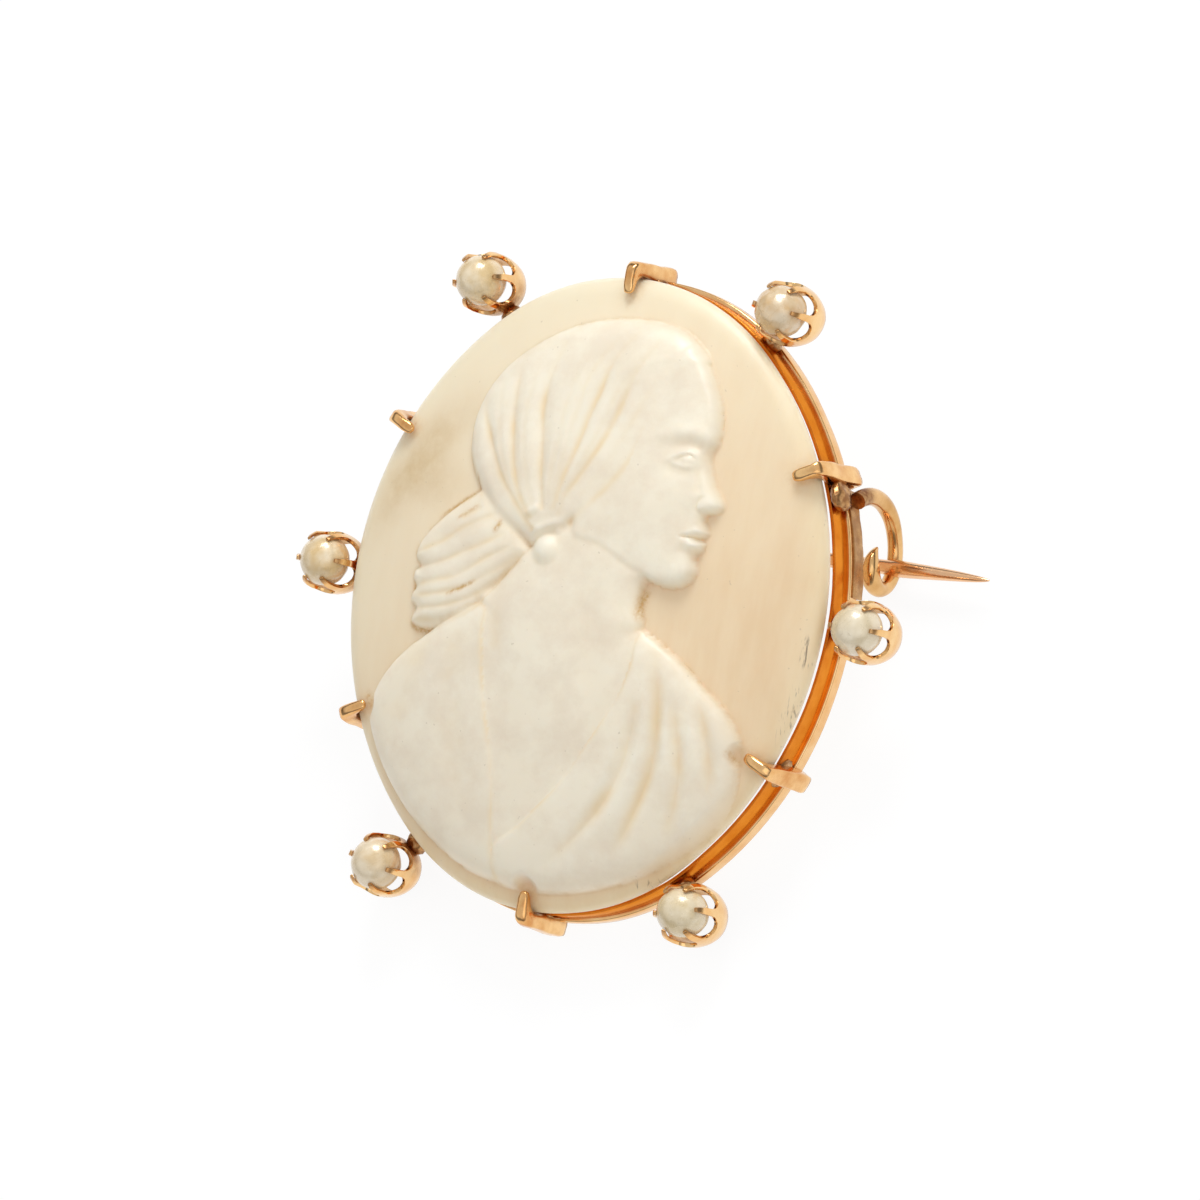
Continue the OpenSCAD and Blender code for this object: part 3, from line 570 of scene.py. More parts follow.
# Values stored on the mesh tell the material where the figure, the grooves, the stains and the cracks are.
stain_vein = [(-9.8, 10.6), (-12.2, 8.0), (-13.8, 5.6), (-15.3, 2.8)]
stain_patch = np.exp(-(((x + 11.0) / 2.0) ** 2 + ((y - 5.6) / 1.5) ** 2))
stain = 0.9 * stroke(stain_vein, 1.5, x, y, 0.3) + 0.6 * stain_patch
crease_tint_and_shade = np.zeros(x.shape)
# Ochre along the foot of the raised outlines: partly the shell's own tint, partly painted shade where the
# relief meets the ground.
for outline, strength in ((TAIL, 1.0), (HAIR, 0.35), (BUST, 0.5), (NECK, 0.6)):
    gap = distance_to(through(outline, closed=True), x, y, closed=True)[0]
    crease_tint_and_shade = np.maximum(crease_tint_and_shade, strength * np.exp(-(gap / 0.2) ** 2))
dirt_and_shade_spots = np.zeros(x.shape)
for line, width, strength in DIRT_AND_SHADE:
    dirt_and_shade_spots = np.maximum(dirt_and_shade_spots, strength * stroke(line, width, x, y))
cracks = np.zeros(x.shape)
for line in EDGE_CRACKS:
    gap = distance_to(through(line), x, y)[0]
    cracks = np.maximum(cracks, np.exp(-(gap / 0.30) ** 2))
under_claws = np.zeros(x.shape)
for angle in claw_angles:
    tip_place = oval_point(angle, -1.0)
    spot = np.exp(-(np.hypot(x - tip_place.x, y - tip_place.y) / 0.75) ** 2)
    under_claws = np.maximum(under_claws, spot)
paint(shell, "figure", figure * fade)
paint(shell, "grooves", np.clip(grooves, 0, 1))
paint(shell, "stain", np.clip(stain, 0, 1) * (1 - figure))
paint(shell, "crease_tint_and_shade", crease_tint_and_shade * np.clip((0.75 - height) / 0.4, 0, 1))
paint(shell, "dirt_and_shade", np.maximum(dirt_and_shade_spots, 0.35 * under_claws))
paint(shell, "cracks", cracks)
paint(shell, "pale", np.clip(0.42 + (y - x) / (2 * half_w), 0, 1))


def mix(factor, first, second):
    """Two colours mixed by a factor."""
    sockets = {0: factor, 6: first, 7: second}
    return node(factor.tree, "ShaderNodeMix", {"data_type": "RGBA"}, sockets, output=2)


def attribute(tree, name):
    return node(tree, "ShaderNodeAttribute", {"attribute_name": name}, (), output="Fac")


def bump(height, strength, distance_mm):
    sockets = {"Height": height, "Strength": strength, "Distance": distance_mm / 1000}
    return node(height.tree, "ShaderNodeBump", {}, sockets)


def select_only(obj):
    for other in bpy.context.selected_objects:
        other.select_set(False)
    obj.select_set(True)
    bpy.context.view_layer.objects.active = obj


def finish_mesh(obj, name, material, angle=35, body="brooch"):
    """Applies the modifiers, lays the piece down where it belongs, and names and dresses it."""
    select_only(obj)
    for modifier in list(obj.modifiers):
        bpy.ops.object.modifier_apply(modifier=modifier.name)
    bpy.ops.object.transform_apply(location=True, rotation=True, scale=True)
    obj.data.transform(LAY_DOWN)
    bpy.ops.object.shade_smooth_by_angle(angle=math.radians(angle))
    obj.name = obj.data.name = name
    obj.data.materials.clear()
    obj.data.materials.append(material)
    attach(obj, body)
    return obj


deep_ground = (0.80, 0.61, 0.37, 1)
warm_ground = (0.88, 0.74, 0.52, 1)
pale_ground = (0.88, 0.80, 0.62, 1)
cream_figure = (0.88, 0.80, 0.64, 1)
white_figure = (0.94, 0.89, 0.76, 1)
mottled_figure = (0.79, 0.69, 0.54, 1)
yellow_groove = (0.84, 0.66, 0.36, 1)
ochre_crease_and_shade = (0.60, 0.40, 0.14, 1)
brown_vein = (0.57, 0.37, 0.11, 1)
amber_dirt_and_shade = (0.60, 0.34, 0.06, 1)
dark_speck = (0.36, 0.28, 0.18, 1)
dark_crack = (0.20, 0.14, 0.09, 1)
shell_material, tree, shader = new_material(
    "carved_shell", Subsurface_Weight=0.55, Subsurface_Scale=0.0016,
    Subsurface_Radius=(1.0, 0.92, 0.80), Coat_Weight=0.12, Coat_Roughness=0.2)
cloud = grain(tree, 5.0, 4.0, 0.55)
fine = grain(tree, 0.7, 5.0, 0.6)
bands = grain(tree, 2.2, 2.0, 0.4)
tool_marks = grain(tree, 1.2, 3.0, 0.6, (4, 1, 1))
layers = climb(grain(tree, 2.6, 4.0, 0.6, (2, 0.4, 1)), 0.35, 0.65)
ground_colour = mix(0.6 * cloud + 0.4 * layers, deep_ground, warm_ground)
ground_colour = mix(attribute(tree, "pale") * 0.8, ground_colour, pale_ground)
figure_colour = mix(cloud, cream_figure, white_figure)
mottle = climb(grain(tree, 3.2, 5.0, 0.65), 0.42, 0.64, high=0.5)
figure_colour = mix(mottle, figure_colour, mottled_figure)
colour = mix(attribute(tree, "figure"), ground_colour, figure_colour)
yellow = climb(bands, 0.35, 0.65, 0.12, 0.60)
colour = mix(attribute(tree, "grooves") * yellow, colour, yellow_groove)
ochre = climb(grain(tree, 1.6, 4.0, 0.7), 0.42, 0.66)
# Ochre at the foot of the outlines: tint and painted shade.
colour = mix(attribute(tree, "crease_tint_and_shade") * 0.6 * ochre, colour, ochre_crease_and_shade)
colour = mix(attribute(tree, "stain") * 0.95 * grain(tree, 1.8, 5.0, 0.7), colour, brown_vein)
# Amber in the carving: dirt, and painted shade along the front of the neck.
dirt_and_shade = attribute(tree, "dirt_and_shade") * climb(grain(tree, 0.3, 4.0, 0.7), 0.35, 0.6, 0.15, 0.85)
colour = mix(dirt_and_shade, colour, amber_dirt_and_shade)
speck = climb(grain(tree, 0.30, 1.0, 0.4), 0.775, 0.80)
colour = mix(speck * 0.25, colour, dark_speck)
scratch = climb(grain(tree, 1.3, 3.0, 0.6, (9, 1, 1)), 0.56, 0.64, high=0.8)
colour = mix(attribute(tree, "cracks") * scratch, colour, dark_crack)
feed(shader, Base_Color=colour, Roughness=0.34 + 0.14 * fine,
     Normal=bump(fine + 0.5 * bands + attribute(tree, "figure") * tool_marks, 0.14, 0.05))
finish_mesh(shell, "carved_shell", shell_material, angle=60)
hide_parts("cameo_shell")


# The looks of the gold: rose gold, worn and polished on what stands out, and dull brown in the joints, where
# old solder and dirt sit, and on the collets' inner walls, where the brown is painted shade. A value stored
# on the mesh says where.
grime_and_shade_brown = (0.24, 0.095, 0.035, 1)


def rose_gold(name, pale, deep, rough, dents=0.10, rim=(1, 1, 1, 1)):
    """Gold that drifts between a pale and a deep tone, and mirrors its rim colour where it turns away."""
    material, tree, shader = new_material(name, Metallic=1.0, Specular_Tint=rim)
    drift = ramp(grain(tree, 1.6, 3.0, 0.6), [(0.35, pale), (0.68, deep)])
    # Brown where the stored value says: old solder and dirt at the joints, and painted shade inside the
    # collets.
    dust_and_shade = attribute(tree, "grime_and_shade") * climb(grain(tree, 0.5, 4.0, 0.65), 0.25, 0.6, low=0.35)
    wear = grain(tree, 0.6, 5.0, 0.6)
    feed(shader, Base_Color=mix(dust_and_shade, drift, grime_and_shade_brown),
         Roughness=rough + 0.12 * wear + 0.22 * dust_and_shade,
         Normal=bump(wear, dents, 0.04))
    return material


# Without a seed Blender's noise starts from the clock, and each run would give other dents.
noise.seed_set(1)


def uneven(obj, amount, size, seed):
    """Moves the points a little, as handwork and wear do."""
    points = read_points(obj.data)
    shift = Vector((seed * 7.3, seed * 3.1, seed * 5.7))
    moved = [Vector(p) + noise.noise_vector(Vector(p) / size + shift) * amount for p in points]
    write_points(obj.data, moved)


# The ring: a plain band of flat wire stands on edge under the shell, and a wider rail is soldered behind it.
# Both are bent round the oval's four arcs. The band's front sags a little at the right and lets light in.
band_out = 0.05
band_in = 0.18
band_front = -0.78
band_back = -2.4
rail_out = 0.3
rail_in = 0.8
rail_back = -3.4
arc_steps = 44
# The band's gold is a deeper orange than the rail's: a painted reflection of the shell's warm back, which the
# band mirrors.
band_gold_painted_reflection = rose_gold("deep_gold_painted_reflection", (0.80, 0.27, 0.035), (0.68, 0.19, 0.02), 0.15, rim=(0.97, 0.74, 0.48, 1))
rail_gold = rose_gold("pale_gold", (0.92, 0.60, 0.30), (0.84, 0.46, 0.18), 0.12)


def spun(corners, arcs, steps, axis):
    """A rectangular wire, spun from its four corners round one arc after another, and joined up."""
    bpy.ops.mesh.primitive_plane_add(size=1)
    wire = bpy.context.object
    write_points(wire.data, corners)
    bpy.ops.object.mode_set(mode="EDIT")
    bpy.ops.mesh.select_all(action="SELECT")
    bpy.ops.mesh.delete(type="ONLY_FACE")
    bpy.ops.mesh.select_all(action="SELECT")
    for centre, turn in arcs:
        bpy.ops.mesh.spin(steps=steps, angle=turn, center=centre, axis=axis)
    bpy.ops.mesh.select_all(action="SELECT")
    bpy.ops.mesh.remove_doubles(threshold=0.002)
    bpy.ops.mesh.normals_make_consistent(inside=False)
    bpy.ops.object.mode_set(mode="OBJECT")
    return wire


def bent_wire(outer, inner, front, back):
    """A wire that is bent round the four arcs of the oval."""
    corners = [(inner, back), (outer, back), (inner, front), (outer, front)]
    side_turn = math.pi - 2 * arc_turn
    arcs = [((0, end_y, 0), arc_turn), ((-side_x, 0, 0), side_turn), ((0, -end_y, 0), 2 * arc_turn),
            ((side_x, 0, 0), side_turn), ((0, end_y, 0), arc_turn)]
    return spun([(0, half_h + out, z) for out, z in corners], arcs, arc_steps, (0, 0, 1))


def round_edges(obj, width, segments=3, angle=30):
    bevel = obj.modifiers.new("edges", "BEVEL")
    bevel.width = width
    bevel.segments = segments
    bevel.limit_method = "ANGLE"
    bevel.angle_limit = math.radians(angle)
    select_only(obj)
    bpy.ops.object.modifier_apply(modifier=bevel.name)


def near_joints(obj, places, width):
    """How close each point is to the places where something is soldered on, from 0 to 1."""
    points = read_points(obj.data)
    close = np.zeros(len(points))
    for place in places:
        gap = np.linalg.norm(points - np.array(place), axis=1)
        close = np.maximum(close, np.exp(-(gap / width) ** 2))
    return close


pearl_angles = [math.radians(a) for a in (37.5, 90, 141, -138, -90, -41)]
claw_feet = [oval_point(a) + Vector((0, 0, band_front - 0.3)) for a in claw_angles]
pearl_strays = (0, 0, 0, 0.6, 0, 0.6)
collet_feet = [oval_point(a, 0.2) + Vector((0, 0, band_back + 0.4)) for a in pearl_angles]
band = bent_wire(band_out, -band_in, band_front, band_back)
points = read_points(band.data)
sag = 0.14 * np.exp(-((points[:, 1] - 1) / 7) ** 2) * np.clip(points[:, 0] / 10, 0, 1)
points[:, 2] -= np.where(points[:, 2] > band_front - 0.1, sag, 0)
write_points(band.data, points)
uneven(band, 0.03, 3.0, 1)
round_edges(band, 0.04)
paint(band, "grime_and_shade", near_joints(band, claw_feet + collet_feet, 0.75))
finish_mesh(band, "ring_band", band_gold_painted_reflection)
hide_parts("gold_setting")
rail = bent_wire(rail_out, -rail_in, band_back, rail_back)
uneven(rail, 0.04, 4.0, 2)
round_edges(rail, 0.14)
paint(rail, "grime_and_shade", near_joints(rail, claw_feet + collet_feet, 0.9) * 0.8)
finish_mesh(rail, "ring_rail", rail_gold)


# The claws: six fins of flat wire, soldered to the outside of the ring. Each is filed narrower towards its
# tip, which is bent over the shell and polished round by wear.
claw_names = ["claw_top", "claw_upper_right", "claw_lower_right", "claw_bottom", "claw_lower_left",
              "claw_upper_left"]
# Stations from the foot to the tip. Columns: inner side outward and forward, outer side the same, width.
CLAW_STATIONS = [(-0.20, -3.60, 1.20, -3.50, 1.25), (-0.20, -2.60, 1.20, -2.70, 1.26),
                 (-0.12, -1.60, 1.13, -1.70, 1.22), (0.00, -0.80, 1.07, -0.60, 1.14),
                 (0.06, -0.10, 0.99, 0.45, 1.00), (0.05, 0.30, 0.90, 1.10, 0.90),
                 (-0.10, 0.55, 0.48, 1.47, 0.84), (-0.38, 0.74, -0.08, 1.54, 0.80),
                 (-0.74, 0.88, -0.64, 1.54, 0.76), (-1.06, 0.97, -1.10, 1.45, 0.72)]
station_mid = (len(CLAW_STATIONS) - 1) / 2
claw_gold = rose_gold("rose_gold", (0.95, 0.61, 0.28), (0.72, 0.34, 0.11), 0.10, 0.40)


def cut_block(cuts):
    """A block with each face cut into a fine grid, to be bent into shape."""
    bpy.ops.mesh.primitive_cube_add(size=2)
    block = bpy.context.object
    bpy.ops.object.mode_set(mode="EDIT")
    bpy.ops.mesh.select_all(action="SELECT")
    bpy.ops.mesh.subdivide(number_cuts=cuts)
    bpy.ops.object.mode_set(mode="OBJECT")
    return block


def stand(obj, angle, out=0.0, rise=0.0):
    """Stands a piece at its place round the oval, with its own y axis pointing outward."""
    obj.location = oval_point(angle, out) + Vector((0, 0, rise))
    obj.rotation_euler = (0, 0, -angle)


def claw(name, angle, seed):
    fin = cut_block(19)
    across, along, through_it = read_points(fin.data).T
    # The square section's corners are rounded, and both ends are drawn in.
    squareness = 5.5 - 3.2 * np.clip((along + 0.3) / 0.8, 0, 1)
    size = np.maximum(np.maximum(abs(across), abs(through_it)), 1e-6)
    round_in = size / (abs(across) ** squareness + abs(through_it) ** squareness) ** (1 / squareness)
    tip_drawn = 0.20 * np.clip((along - 0.72) / 0.28, 0, 1) ** 2.4
    foot_drawn = 0.10 * np.clip((-along - 0.9) / 0.1, 0, 1) ** 2
    ends = 1 - tip_drawn - foot_drawn
    across, through_it = across * round_in * ends, through_it * round_in * ends
    stations = np.arange(len(CLAW_STATIONS))
    at = (along + 1) * station_mid
    in_out, in_z, out_out, out_z, width = [np.interp(at, stations, column) for column in zip(*CLAW_STATIONS)]
    share_out = (through_it + 1) / 2
    bulge = np.where(along > 0.99, 0.10 * (1 - np.clip(size, 0, 1) ** 2), 0)
    places = np.stack([across * width / 2, in_out + (out_out - in_out) * share_out - bulge,
                       in_z + (out_z - in_z) * share_out], 1)
    write_points(fin.data, places)
    smooth = fin.modifiers.new("smooth", "SMOOTH")
    smooth.iterations = 3
    smooth.factor = 0.5
    select_only(fin)
    bpy.ops.object.modifier_apply(modifier=smooth.name)
    uneven(fin, 0.07, 1.1, seed)
    uneven(fin, 0.02, 0.35, seed + 50)
    place = read_points(fin.data)
    foot = np.exp(-((place[:, 1] + 0.05) / 0.30) ** 2) * np.clip((-0.3 - place[:, 2]) / 0.4, 0, 1)
    under = np.exp(-((place[:, 1] - 0.05) / 0.22) ** 2) * np.clip((0.9 - place[:, 2]) / 0.5, 0, 1)
    paint(fin, "grime_and_shade", np.clip(np.maximum(foot, under), 0, 1))
    stand(fin, angle)
    finish_mesh(fin, name, claw_gold, 60)


for seed, (name, angle) in enumerate(zip(claw_names, claw_angles)):
    claw(name, angle, seed + 3)


# The collets: each is a thin cup of gold that is open behind and cut down into six claws with round-bottomed
# gaps between them. The tips are pressed over the pearl. A lump of solder holds each to the ring.
pearl_r = 1.65
pearl_gap = 0.08
collet_wall = 0.26
collet_in = pearl_r + pearl_gap
collet_out = collet_in + collet_wall
shell_gap = 0.48
pearl_off = shell_gap + collet_out
collet_depth = 2.8
window_depth = 1.15
prong_w = 0.46
prong_count = 6
collet_gold = rose_gold("collet_gold", (0.95, 0.64, 0.31), (0.84, 0.46, 0.17), 0.08, 0.22)


def cup_wall(rise):
    """Radius and height of the cup's outer face. Its tips follow the pearl, and its foot narrows."""
    if rise > 0:
        lean = rise / collet_out
        return collet_out * math.cos(lean), collet_out * math.sin(lean)
    down = -rise / collet_depth
    return collet_out * (1 - 0.17 * max(0, (down - 0.45) / 0.55) ** 2), rise


def collet(name, angle, off, seed):
    draw = random.Random(seed)
    sector = 2 * math.pi / prong_count
    gap_r = (collet_out * sector - prong_w) / 2
    # Heights of the rows of points: the cup's foot, the round bottoms of its gaps, and its claws.
    low = [-collet_depth, -2.55, -2.2, -1.8, -1.45]
    round_part = [-window_depth + gap_r * (1 - math.cos(math.radians(a))) for a in (0, 9, 20, 34, 50, 68, 90)]
    high = [0.30, 0.60, 0.90, 1.20]
    levels = low + round_part + high
    across = 8
    bpy.ops.mesh.primitive_grid_add(x_subdivisions=across, y_subdivisions=len(levels) - 1, size=2)
    cup = bpy.context.object
    single = read_points(cup.data)
    points = []
    for k in range(prong_count):
        tip_rise = draw.uniform(-0.12, 0.12)
        lean = draw.uniform(-0.06, 0.06)
        for px, py, _ in single:
            level = levels[round((py + 1) / 2 * (len(levels) - 1))]
            up_window = level + window_depth
            gap = math.sqrt(max(0, gap_r ** 2 - max(0, gap_r - up_window) ** 2)) if up_window > 0 else 0
            half = sector / 2 - gap / collet_out
            half *= 1 - 0.22 * min(1, max(0, level) / 1.2)
            if level > 0.3:
                level += tip_rise * (level - 0.3)
            radius, z = cup_wall(level)
            turn = k * sector + px * half + (lean * max(0, level) if level > 0 else 0)
            points.append((radius * math.sin(turn), radius * math.cos(turn), z))
    select_only(cup)
    copies = [cup]
    for _ in range(prong_count - 1):
        bpy.ops.object.duplicate()
        copies.append(bpy.context.object)
    for part in copies:
        part.select_set(True)
    bpy.context.view_layer.objects.active = cup
    bpy.ops.object.join()
    write_points(cup.data, points)
    bpy.ops.object.mode_set(mode="EDIT")
    bpy.ops.mesh.select_all(action="SELECT")
    bpy.ops.mesh.remove_doubles(threshold=0.004)
    bpy.ops.mesh.normals_make_consistent(inside=False)
    bpy.ops.object.mode_set(mode="OBJECT")
    thick = cup.modifiers.new("wall", "SOLIDIFY")
    thick.thickness = collet_wall
    thick.offset = -1
    bpy.ops.object.modifier_apply(modifier=thick.name)
    # The prongs are thinned towards their tips and pressed onto the pearl.
    place = read_points(cup.data)
    radius = np.linalg.norm(place, axis=1)
    bent = np.clip(np.arcsin(np.clip(place[:, 2] / radius, -1, 1)) / 0.55, 0, 1)
    pressed = (collet_in - 0.09 * bent) + (radius - collet_in) * (1 - 0.40 * bent)
    write_points(cup.data, place * np.where(bent > 0, pressed / radius, 1)[:, None])
    round_edges(cup, 0.06, 2, 50)
    uneven(cup, 0.02, 0.9, seed)
    place = read_points(cup.data)
    towards_ring = np.clip(-place[:, 1] / collet_out - 0.35, 0, 1) * np.clip(-place[:, 2] / 1.5, 0, 1)
    # The cup's inner wall is darkened too: painted shade inside the cup.
    inside = np.clip((collet_in + 0.05 - np.hypot(place[:, 0], place[:, 1])) / 0.1, 0, 1) * 0.6
    paint(cup, "grime_and_shade", np.clip(np.maximum(towards_ring * 1.4, inside), 0, 1))
    stand(cup, angle, off)
    finish_mesh(cup, name, collet_gold, 45)


def solder(name, angle, out, rise, size, seed):
    """A lump of solder that has flowed into a corner of the ring."""
    bpy.ops.mesh.primitive_uv_sphere_add(segments=32, ring_count=20, radius=1)
    lump = bpy.context.object
    lump.scale = size
    bpy.ops.object.transform_apply(location=False, rotation=False, scale=True)
    uneven(lump, 0.10, 0.6, seed)
    uneven(lump, 0.07, 0.22, seed + 5)
    paint(lump, "grime_and_shade", np.full(len(lump.data.vertices), 0.9))
    stand(lump, angle, out, rise)
    finish_mesh(lump, name, collet_gold, 60)


for seed, (name, angle) in enumerate(zip(claw_names, claw_angles)):
    solder(name.replace("claw", "claw_solder"), angle, 0.06, -1.65, (0.98, 0.17, 0.75), seed + 61)
solder("claw_solder_spill", math.radians(68.6), 0.55, -1.3, (1.0, 0.5, 0.95), 91)
pearl_nodes = ["pearl_top_right", "pearl_right", "pearl_low_right", "pearl_low_left", "pearl_left",
               "pearl_top_left"]
for seed, (pearl_node, angle, stray) in enumerate(zip(pearl_nodes, pearl_angles, pearl_strays)):
    collet(pearl_node.replace("pearl", "collet"), angle, pearl_off + stray, seed + 11)
    lump_size = (0.72, 0.52 + stray / 2, 0.75)
    solder(pearl_node.replace("pearl", "solder"), angle, 0.28 + stray / 2, -1.95, lump_size, seed + 21)


# The pearls: small natural pearls, none quite round. Their skin is creamy with a soft inner light, and the
# one at the right is cooler. Each sits free in its collet.
pale_nacre = (0.97, 0.88, 0.70, 1)
brown_rim_shade = (0.56, 0.38, 0.18, 1)
brown_spot = (0.42, 0.30, 0.16, 1)
# Each is made a little smaller than its solid, so that its wrinkles stay within it.
made_share = 0.985
# Columns: shape across, up and deep as shares of round, colour, depth of its wrinkles.
PEARLS = {"pearl_top_right": ((1.0, 0.98, 0.99), (0.69, 0.45, 0.20), 0.06),
          "pearl_right": ((0.99, 0.98, 0.98), (0.75, 0.63, 0.42), 0.02),
          "pearl_low_right": ((1.015, 0.94, 0.98), (0.71, 0.57, 0.33), 0.02),
          "pearl_low_left": ((0.97, 1.01, 0.98), (0.74, 0.56, 0.32), 0.02),
          "pearl_left": ((0.96, 1.0, 0.98), (0.74, 0.53, 0.25), 0.03),
          "pearl_top_left": ((0.98, 0.98, 1.0), (0.75, 0.55, 0.27), 0.02)}


def pearl_skin(name, colour):
    """Layered skin: a bright body with paler patches, a clear gloss, and painted shade: a deeper brown
    towards the rim.
    """
    material, tree, shader = new_material(
        name, Metallic=0.06, Specular_IOR_Level=0.9, Coat_Weight=0.8, Coat_Roughness=0.2)
    rim = node(tree, "ShaderNodeLayerWeight", {}, {"Blend": 0.35}, output="Facing")
    patches = climb(grain(tree, 1.4, 3.0, 0.5), 0.38, 0.62, high=0.6)
    body = mix(patches, (*colour, 1), pale_nacre)
    # Painted shade: the skin turns browner where it turns away towards the rim.
    rim_shaded = mix(rim * 0.5, body, brown_rim_shade)
    spots = climb(grain(tree, 0.28, 2.0, 0.5), 0.66, 0.74)
    feed(shader, Base_Color=mix(spots * 0.25, rim_shaded, brown_spot),
         Roughness=0.20 + 0.16 * grain(tree, 0.6, 3.0, 0.5),
         Normal=bump(grain(tree, 0.6, 3.0, 0.5), 0.22, 0.06))
    return material


for seed, (pearl_node, angle, stray) in enumerate(zip(pearl_nodes, pearl_angles, pearl_strays)):
    shape, colour, wrinkle = PEARLS[pearl_node]
    bpy.ops.mesh.primitive_uv_sphere_add(segments=64, ring_count=40, radius=pearl_r * made_share)
    pearl = bpy.context.object
    pearl.scale = shape
    bpy.ops.object.transform_apply(location=False, rotation=False, scale=True)
    uneven(pearl, wrinkle, 0.55, seed + 31)
    pearl.location = oval_point(angle, pearl_off + stray)
    name = pearl_node.replace("pearl_", "") + "_pearl"
    finish_mesh(pearl, name, pearl_skin("skin_of_" + name, colour), 80)
    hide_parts(pearl_node)


# The catch: a round wire that is soldered to the back of the rail, runs round in a wide loop behind it and
# ends in a small hook under the pin. Its free end is filed to a point and bent in front of the pin.
catch_r = 0.48
loop_r = 3.95
hook_r = 1.45
hook_depth = 7.25
catch_inset = 0.4
loop_depth = hook_depth + hook_r - loop_r
hinge_at = LAY_DOWN.inverted() @ Vector(hinge["pos_m"])
catch_y = hinge_at.y
catch_x = math.sqrt((side_r + rail_out) ** 2 - catch_y ** 2) - side_x - catch_inset
catch_gold = rose_gold("catch_gold", (0.84, 0.52, 0.23), (0.64, 0.35, 0.12), 0.12)


def tapered_wire(name, route, radii, material, grime_and_shade, bends, body="brooch"):
    """A round wire along a route, with a radius at each of its points and small bends."""
    curve = bpy.data.curves.new(name, "CURVE")
    curve.dimensions = "3D"
    curve.bevel_depth = 1.0
    curve.bevel_resolution = 10
    curve.use_fill_caps = True
    spline = curve.splines.new("POLY")
    spline.points.add(len(route) - 1)
    for point, place, radius in zip(spline.points, route, radii):
        point.co = (*place, 1)
        point.radius = radius
    wire = bpy.data.objects.new(name, curve)
    bpy.context.scene.collection.objects.link(wire)
    select_only(wire)
    bpy.ops.object.convert(target="MESH")
    wire = bpy.context.object
    uneven(wire, bends, 2.0, 41)
    paint(wire, "grime_and_shade", grime_and_shade(read_points(wire.data)))
    return finish_mesh(wire, name, material, 60, body)


def in_side_view(depth, radius, degrees):
    """A point round the catch's loop or hook, from straight behind its middle and then upward."""
    a = math.radians(degrees)
    return Vector((catch_x, catch_y + radius * math.sin(a), -depth - radius * math.cos(a)))


loop_turns = range(120, -1, -4)
hook_turns = range(-8, -229, -8)
loop = [in_side_view(loop_depth, loop_r, a) for a in loop_turns]
hook = [in_side_view(hook_depth, hook_r, a) for a in hook_turns]
route = loop + hook
radii = [catch_r + 0.07 * min(1, max(0, (a - 25) / 40)) for a in loop_turns]
radii += [catch_r + 0.12 * min(1, max(0, (-a - 70) / 60)) for a in hook_turns]
point_steps = 9
for k in range(point_steps):
    radii[-1 - k] *= 0.14 + 0.86 * math.sin(math.pi / 2 * k / point_steps)
tapered_wire("catch_wire", route, radii, catch_gold,
             lambda places: np.clip((places[:, 2] + 4.2) / 0.8, 0, 1), 0.03)

# The foot of the catch: a flat strip that is bent along the rail's outer back corner and carries the wire.
foot_mid = math.radians(75.6)
foot_turn = math.radians(8.8)
foot_out = 0.42
foot_in = -0.35
foot_front = band_back - 0.25
foot_back = rail_back - 0.45
foot = cut_block(15)
bent_places = []
for out, along, rise in read_points(foot.data):
    place = oval_point(foot_mid - along * foot_turn, foot_in + (out + 1) / 2 * (foot_out - foot_in))
    bent_places.append((place.x, place.y, foot_back + (rise + 1) / 2 * (foot_front - foot_back)))
write_points(foot.data, bent_places)
round_edges(foot, 0.15, 3, 50)
uneven(foot, 0.06, 0.8, 43)
paint(foot, "grime_and_shade", np.full(len(foot.data.vertices), 0.7))
finish_mesh(foot, "catch_foot", catch_gold, 50)


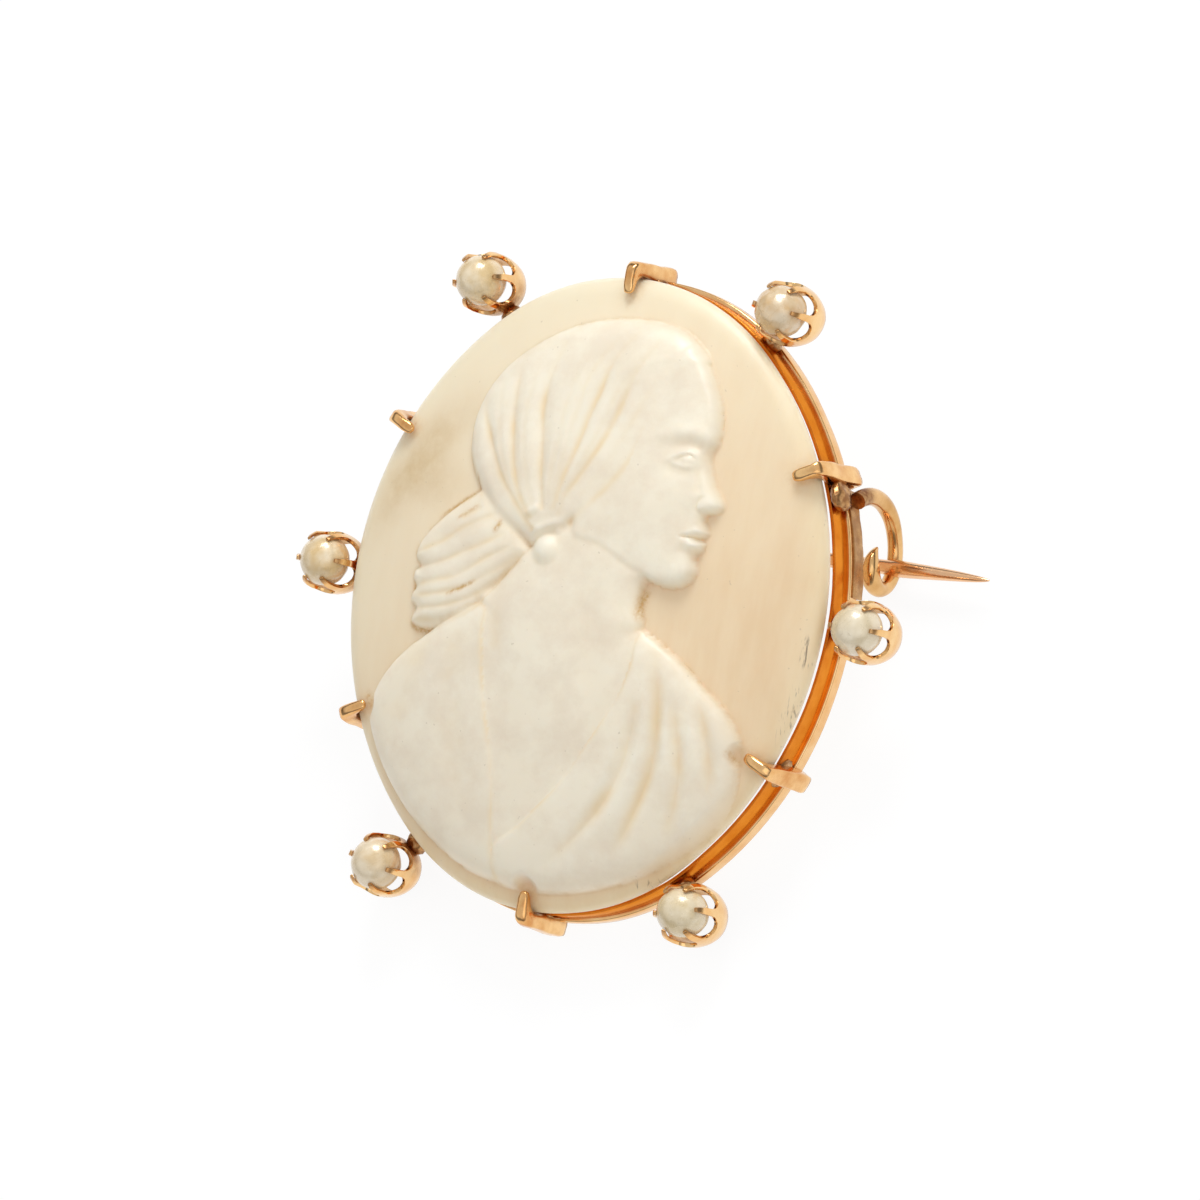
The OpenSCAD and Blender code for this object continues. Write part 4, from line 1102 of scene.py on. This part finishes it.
# The hinge: two ears of thick gold sheet, soldered to the back of the rail, with a rivet through them. The
# pin's knuckle turns on the rivet between them.
ear_t = 0.6
knuckle_w = 1.1
run_gap = 0.06
ear_r = 1.26
ear_front = band_back - 0.3
leg = ear_front - hinge_at.z
leg_half = ear_r * 0.85
for name, side in (("hinge_ear_upper", 1), ("hinge_ear_lower", -1)):
    bpy.ops.mesh.primitive_cylinder_add(
        vertices=64, radius=ear_r, depth=ear_t, rotation=(math.pi / 2, 0, 0))
    ear = bpy.context.object
    bpy.ops.object.transform_apply(location=False, rotation=True, scale=False)
    points = read_points(ear.data)
    front = points[:, 2] > 0.25
    points[front, 2] = leg
    points[front, 0] = np.clip(points[front, 0], -leg_half, leg_half)
    write_points(ear.data, points)
    round_edges(ear, 0.08, 2)
    paint(ear, "grime_and_shade", np.clip((read_points(ear.data)[:, 2] - leg + 1.6) / 1.2, 0, 1) * 0.8)
    ear.location = hinge_at + Vector((0, side * (knuckle_w / 2 + run_gap + ear_t / 2), 0))
    finish_mesh(ear, name, claw_gold, 40)


# The pin: drawn wire, filed to a long round point and polished by use. Its knuckle is a ring of thick sheet,
# soldered to its end, that turns on the rivet. The rivet keeps its own solid.
pin_r = 0.455
pin_past = 7.39
pin_len = catch_x - hinge_at.x + pin_past
point_len = 6.6
knuckle_r = 0.9
bore_r = 0.41
swell_r = 0.55
pin_gold = rose_gold("pin_gold", (0.94, 0.62, 0.38), (0.86, 0.49, 0.26), 0.12)
# How far each point of the route is from the tip. The stem swells a little before its long point.
from_tip = [pin_len - 0.7, 8.4, 7.9, 7.2, 6.9, point_len]
from_tip += [point_len * (1 - k / 14) ** 1.6 for k in range(1, 14)] + [0.02]
route = [hinge_at + Vector((pin_len - gap, 0, 0)) for gap in from_tip]
radii = [pin_r, pin_r, pin_r, 0.47, 0.50]
radii += [max(0.03, swell_r * (gap / point_len) ** 0.5) for gap in from_tip[5:]]
stem = tapered_wire("pin_wire", route, radii, pin_gold, lambda places: np.zeros(len(places)), 0.012, "pin")
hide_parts("pin_stem")

corners = [(r, side * knuckle_w / 2, 0) for side in (-1, 1) for r in (bore_r, knuckle_r)]
knuckle = spun(corners, [((0, 0, 0), 2 * math.pi)], 64, (0, 1, 0))
round_edges(knuckle, 0.07)
paint(knuckle, "grime_and_shade", np.full(len(knuckle.data.vertices), 0.3))
knuckle.location = hinge_at
finish_mesh(knuckle, "pin_knuckle", pin_gold, 40, "pin")

rivet = frame["nodes"]["hinge_rivet"]
rivet.data.materials.clear()
rivet.data.materials.append(pin_gold)
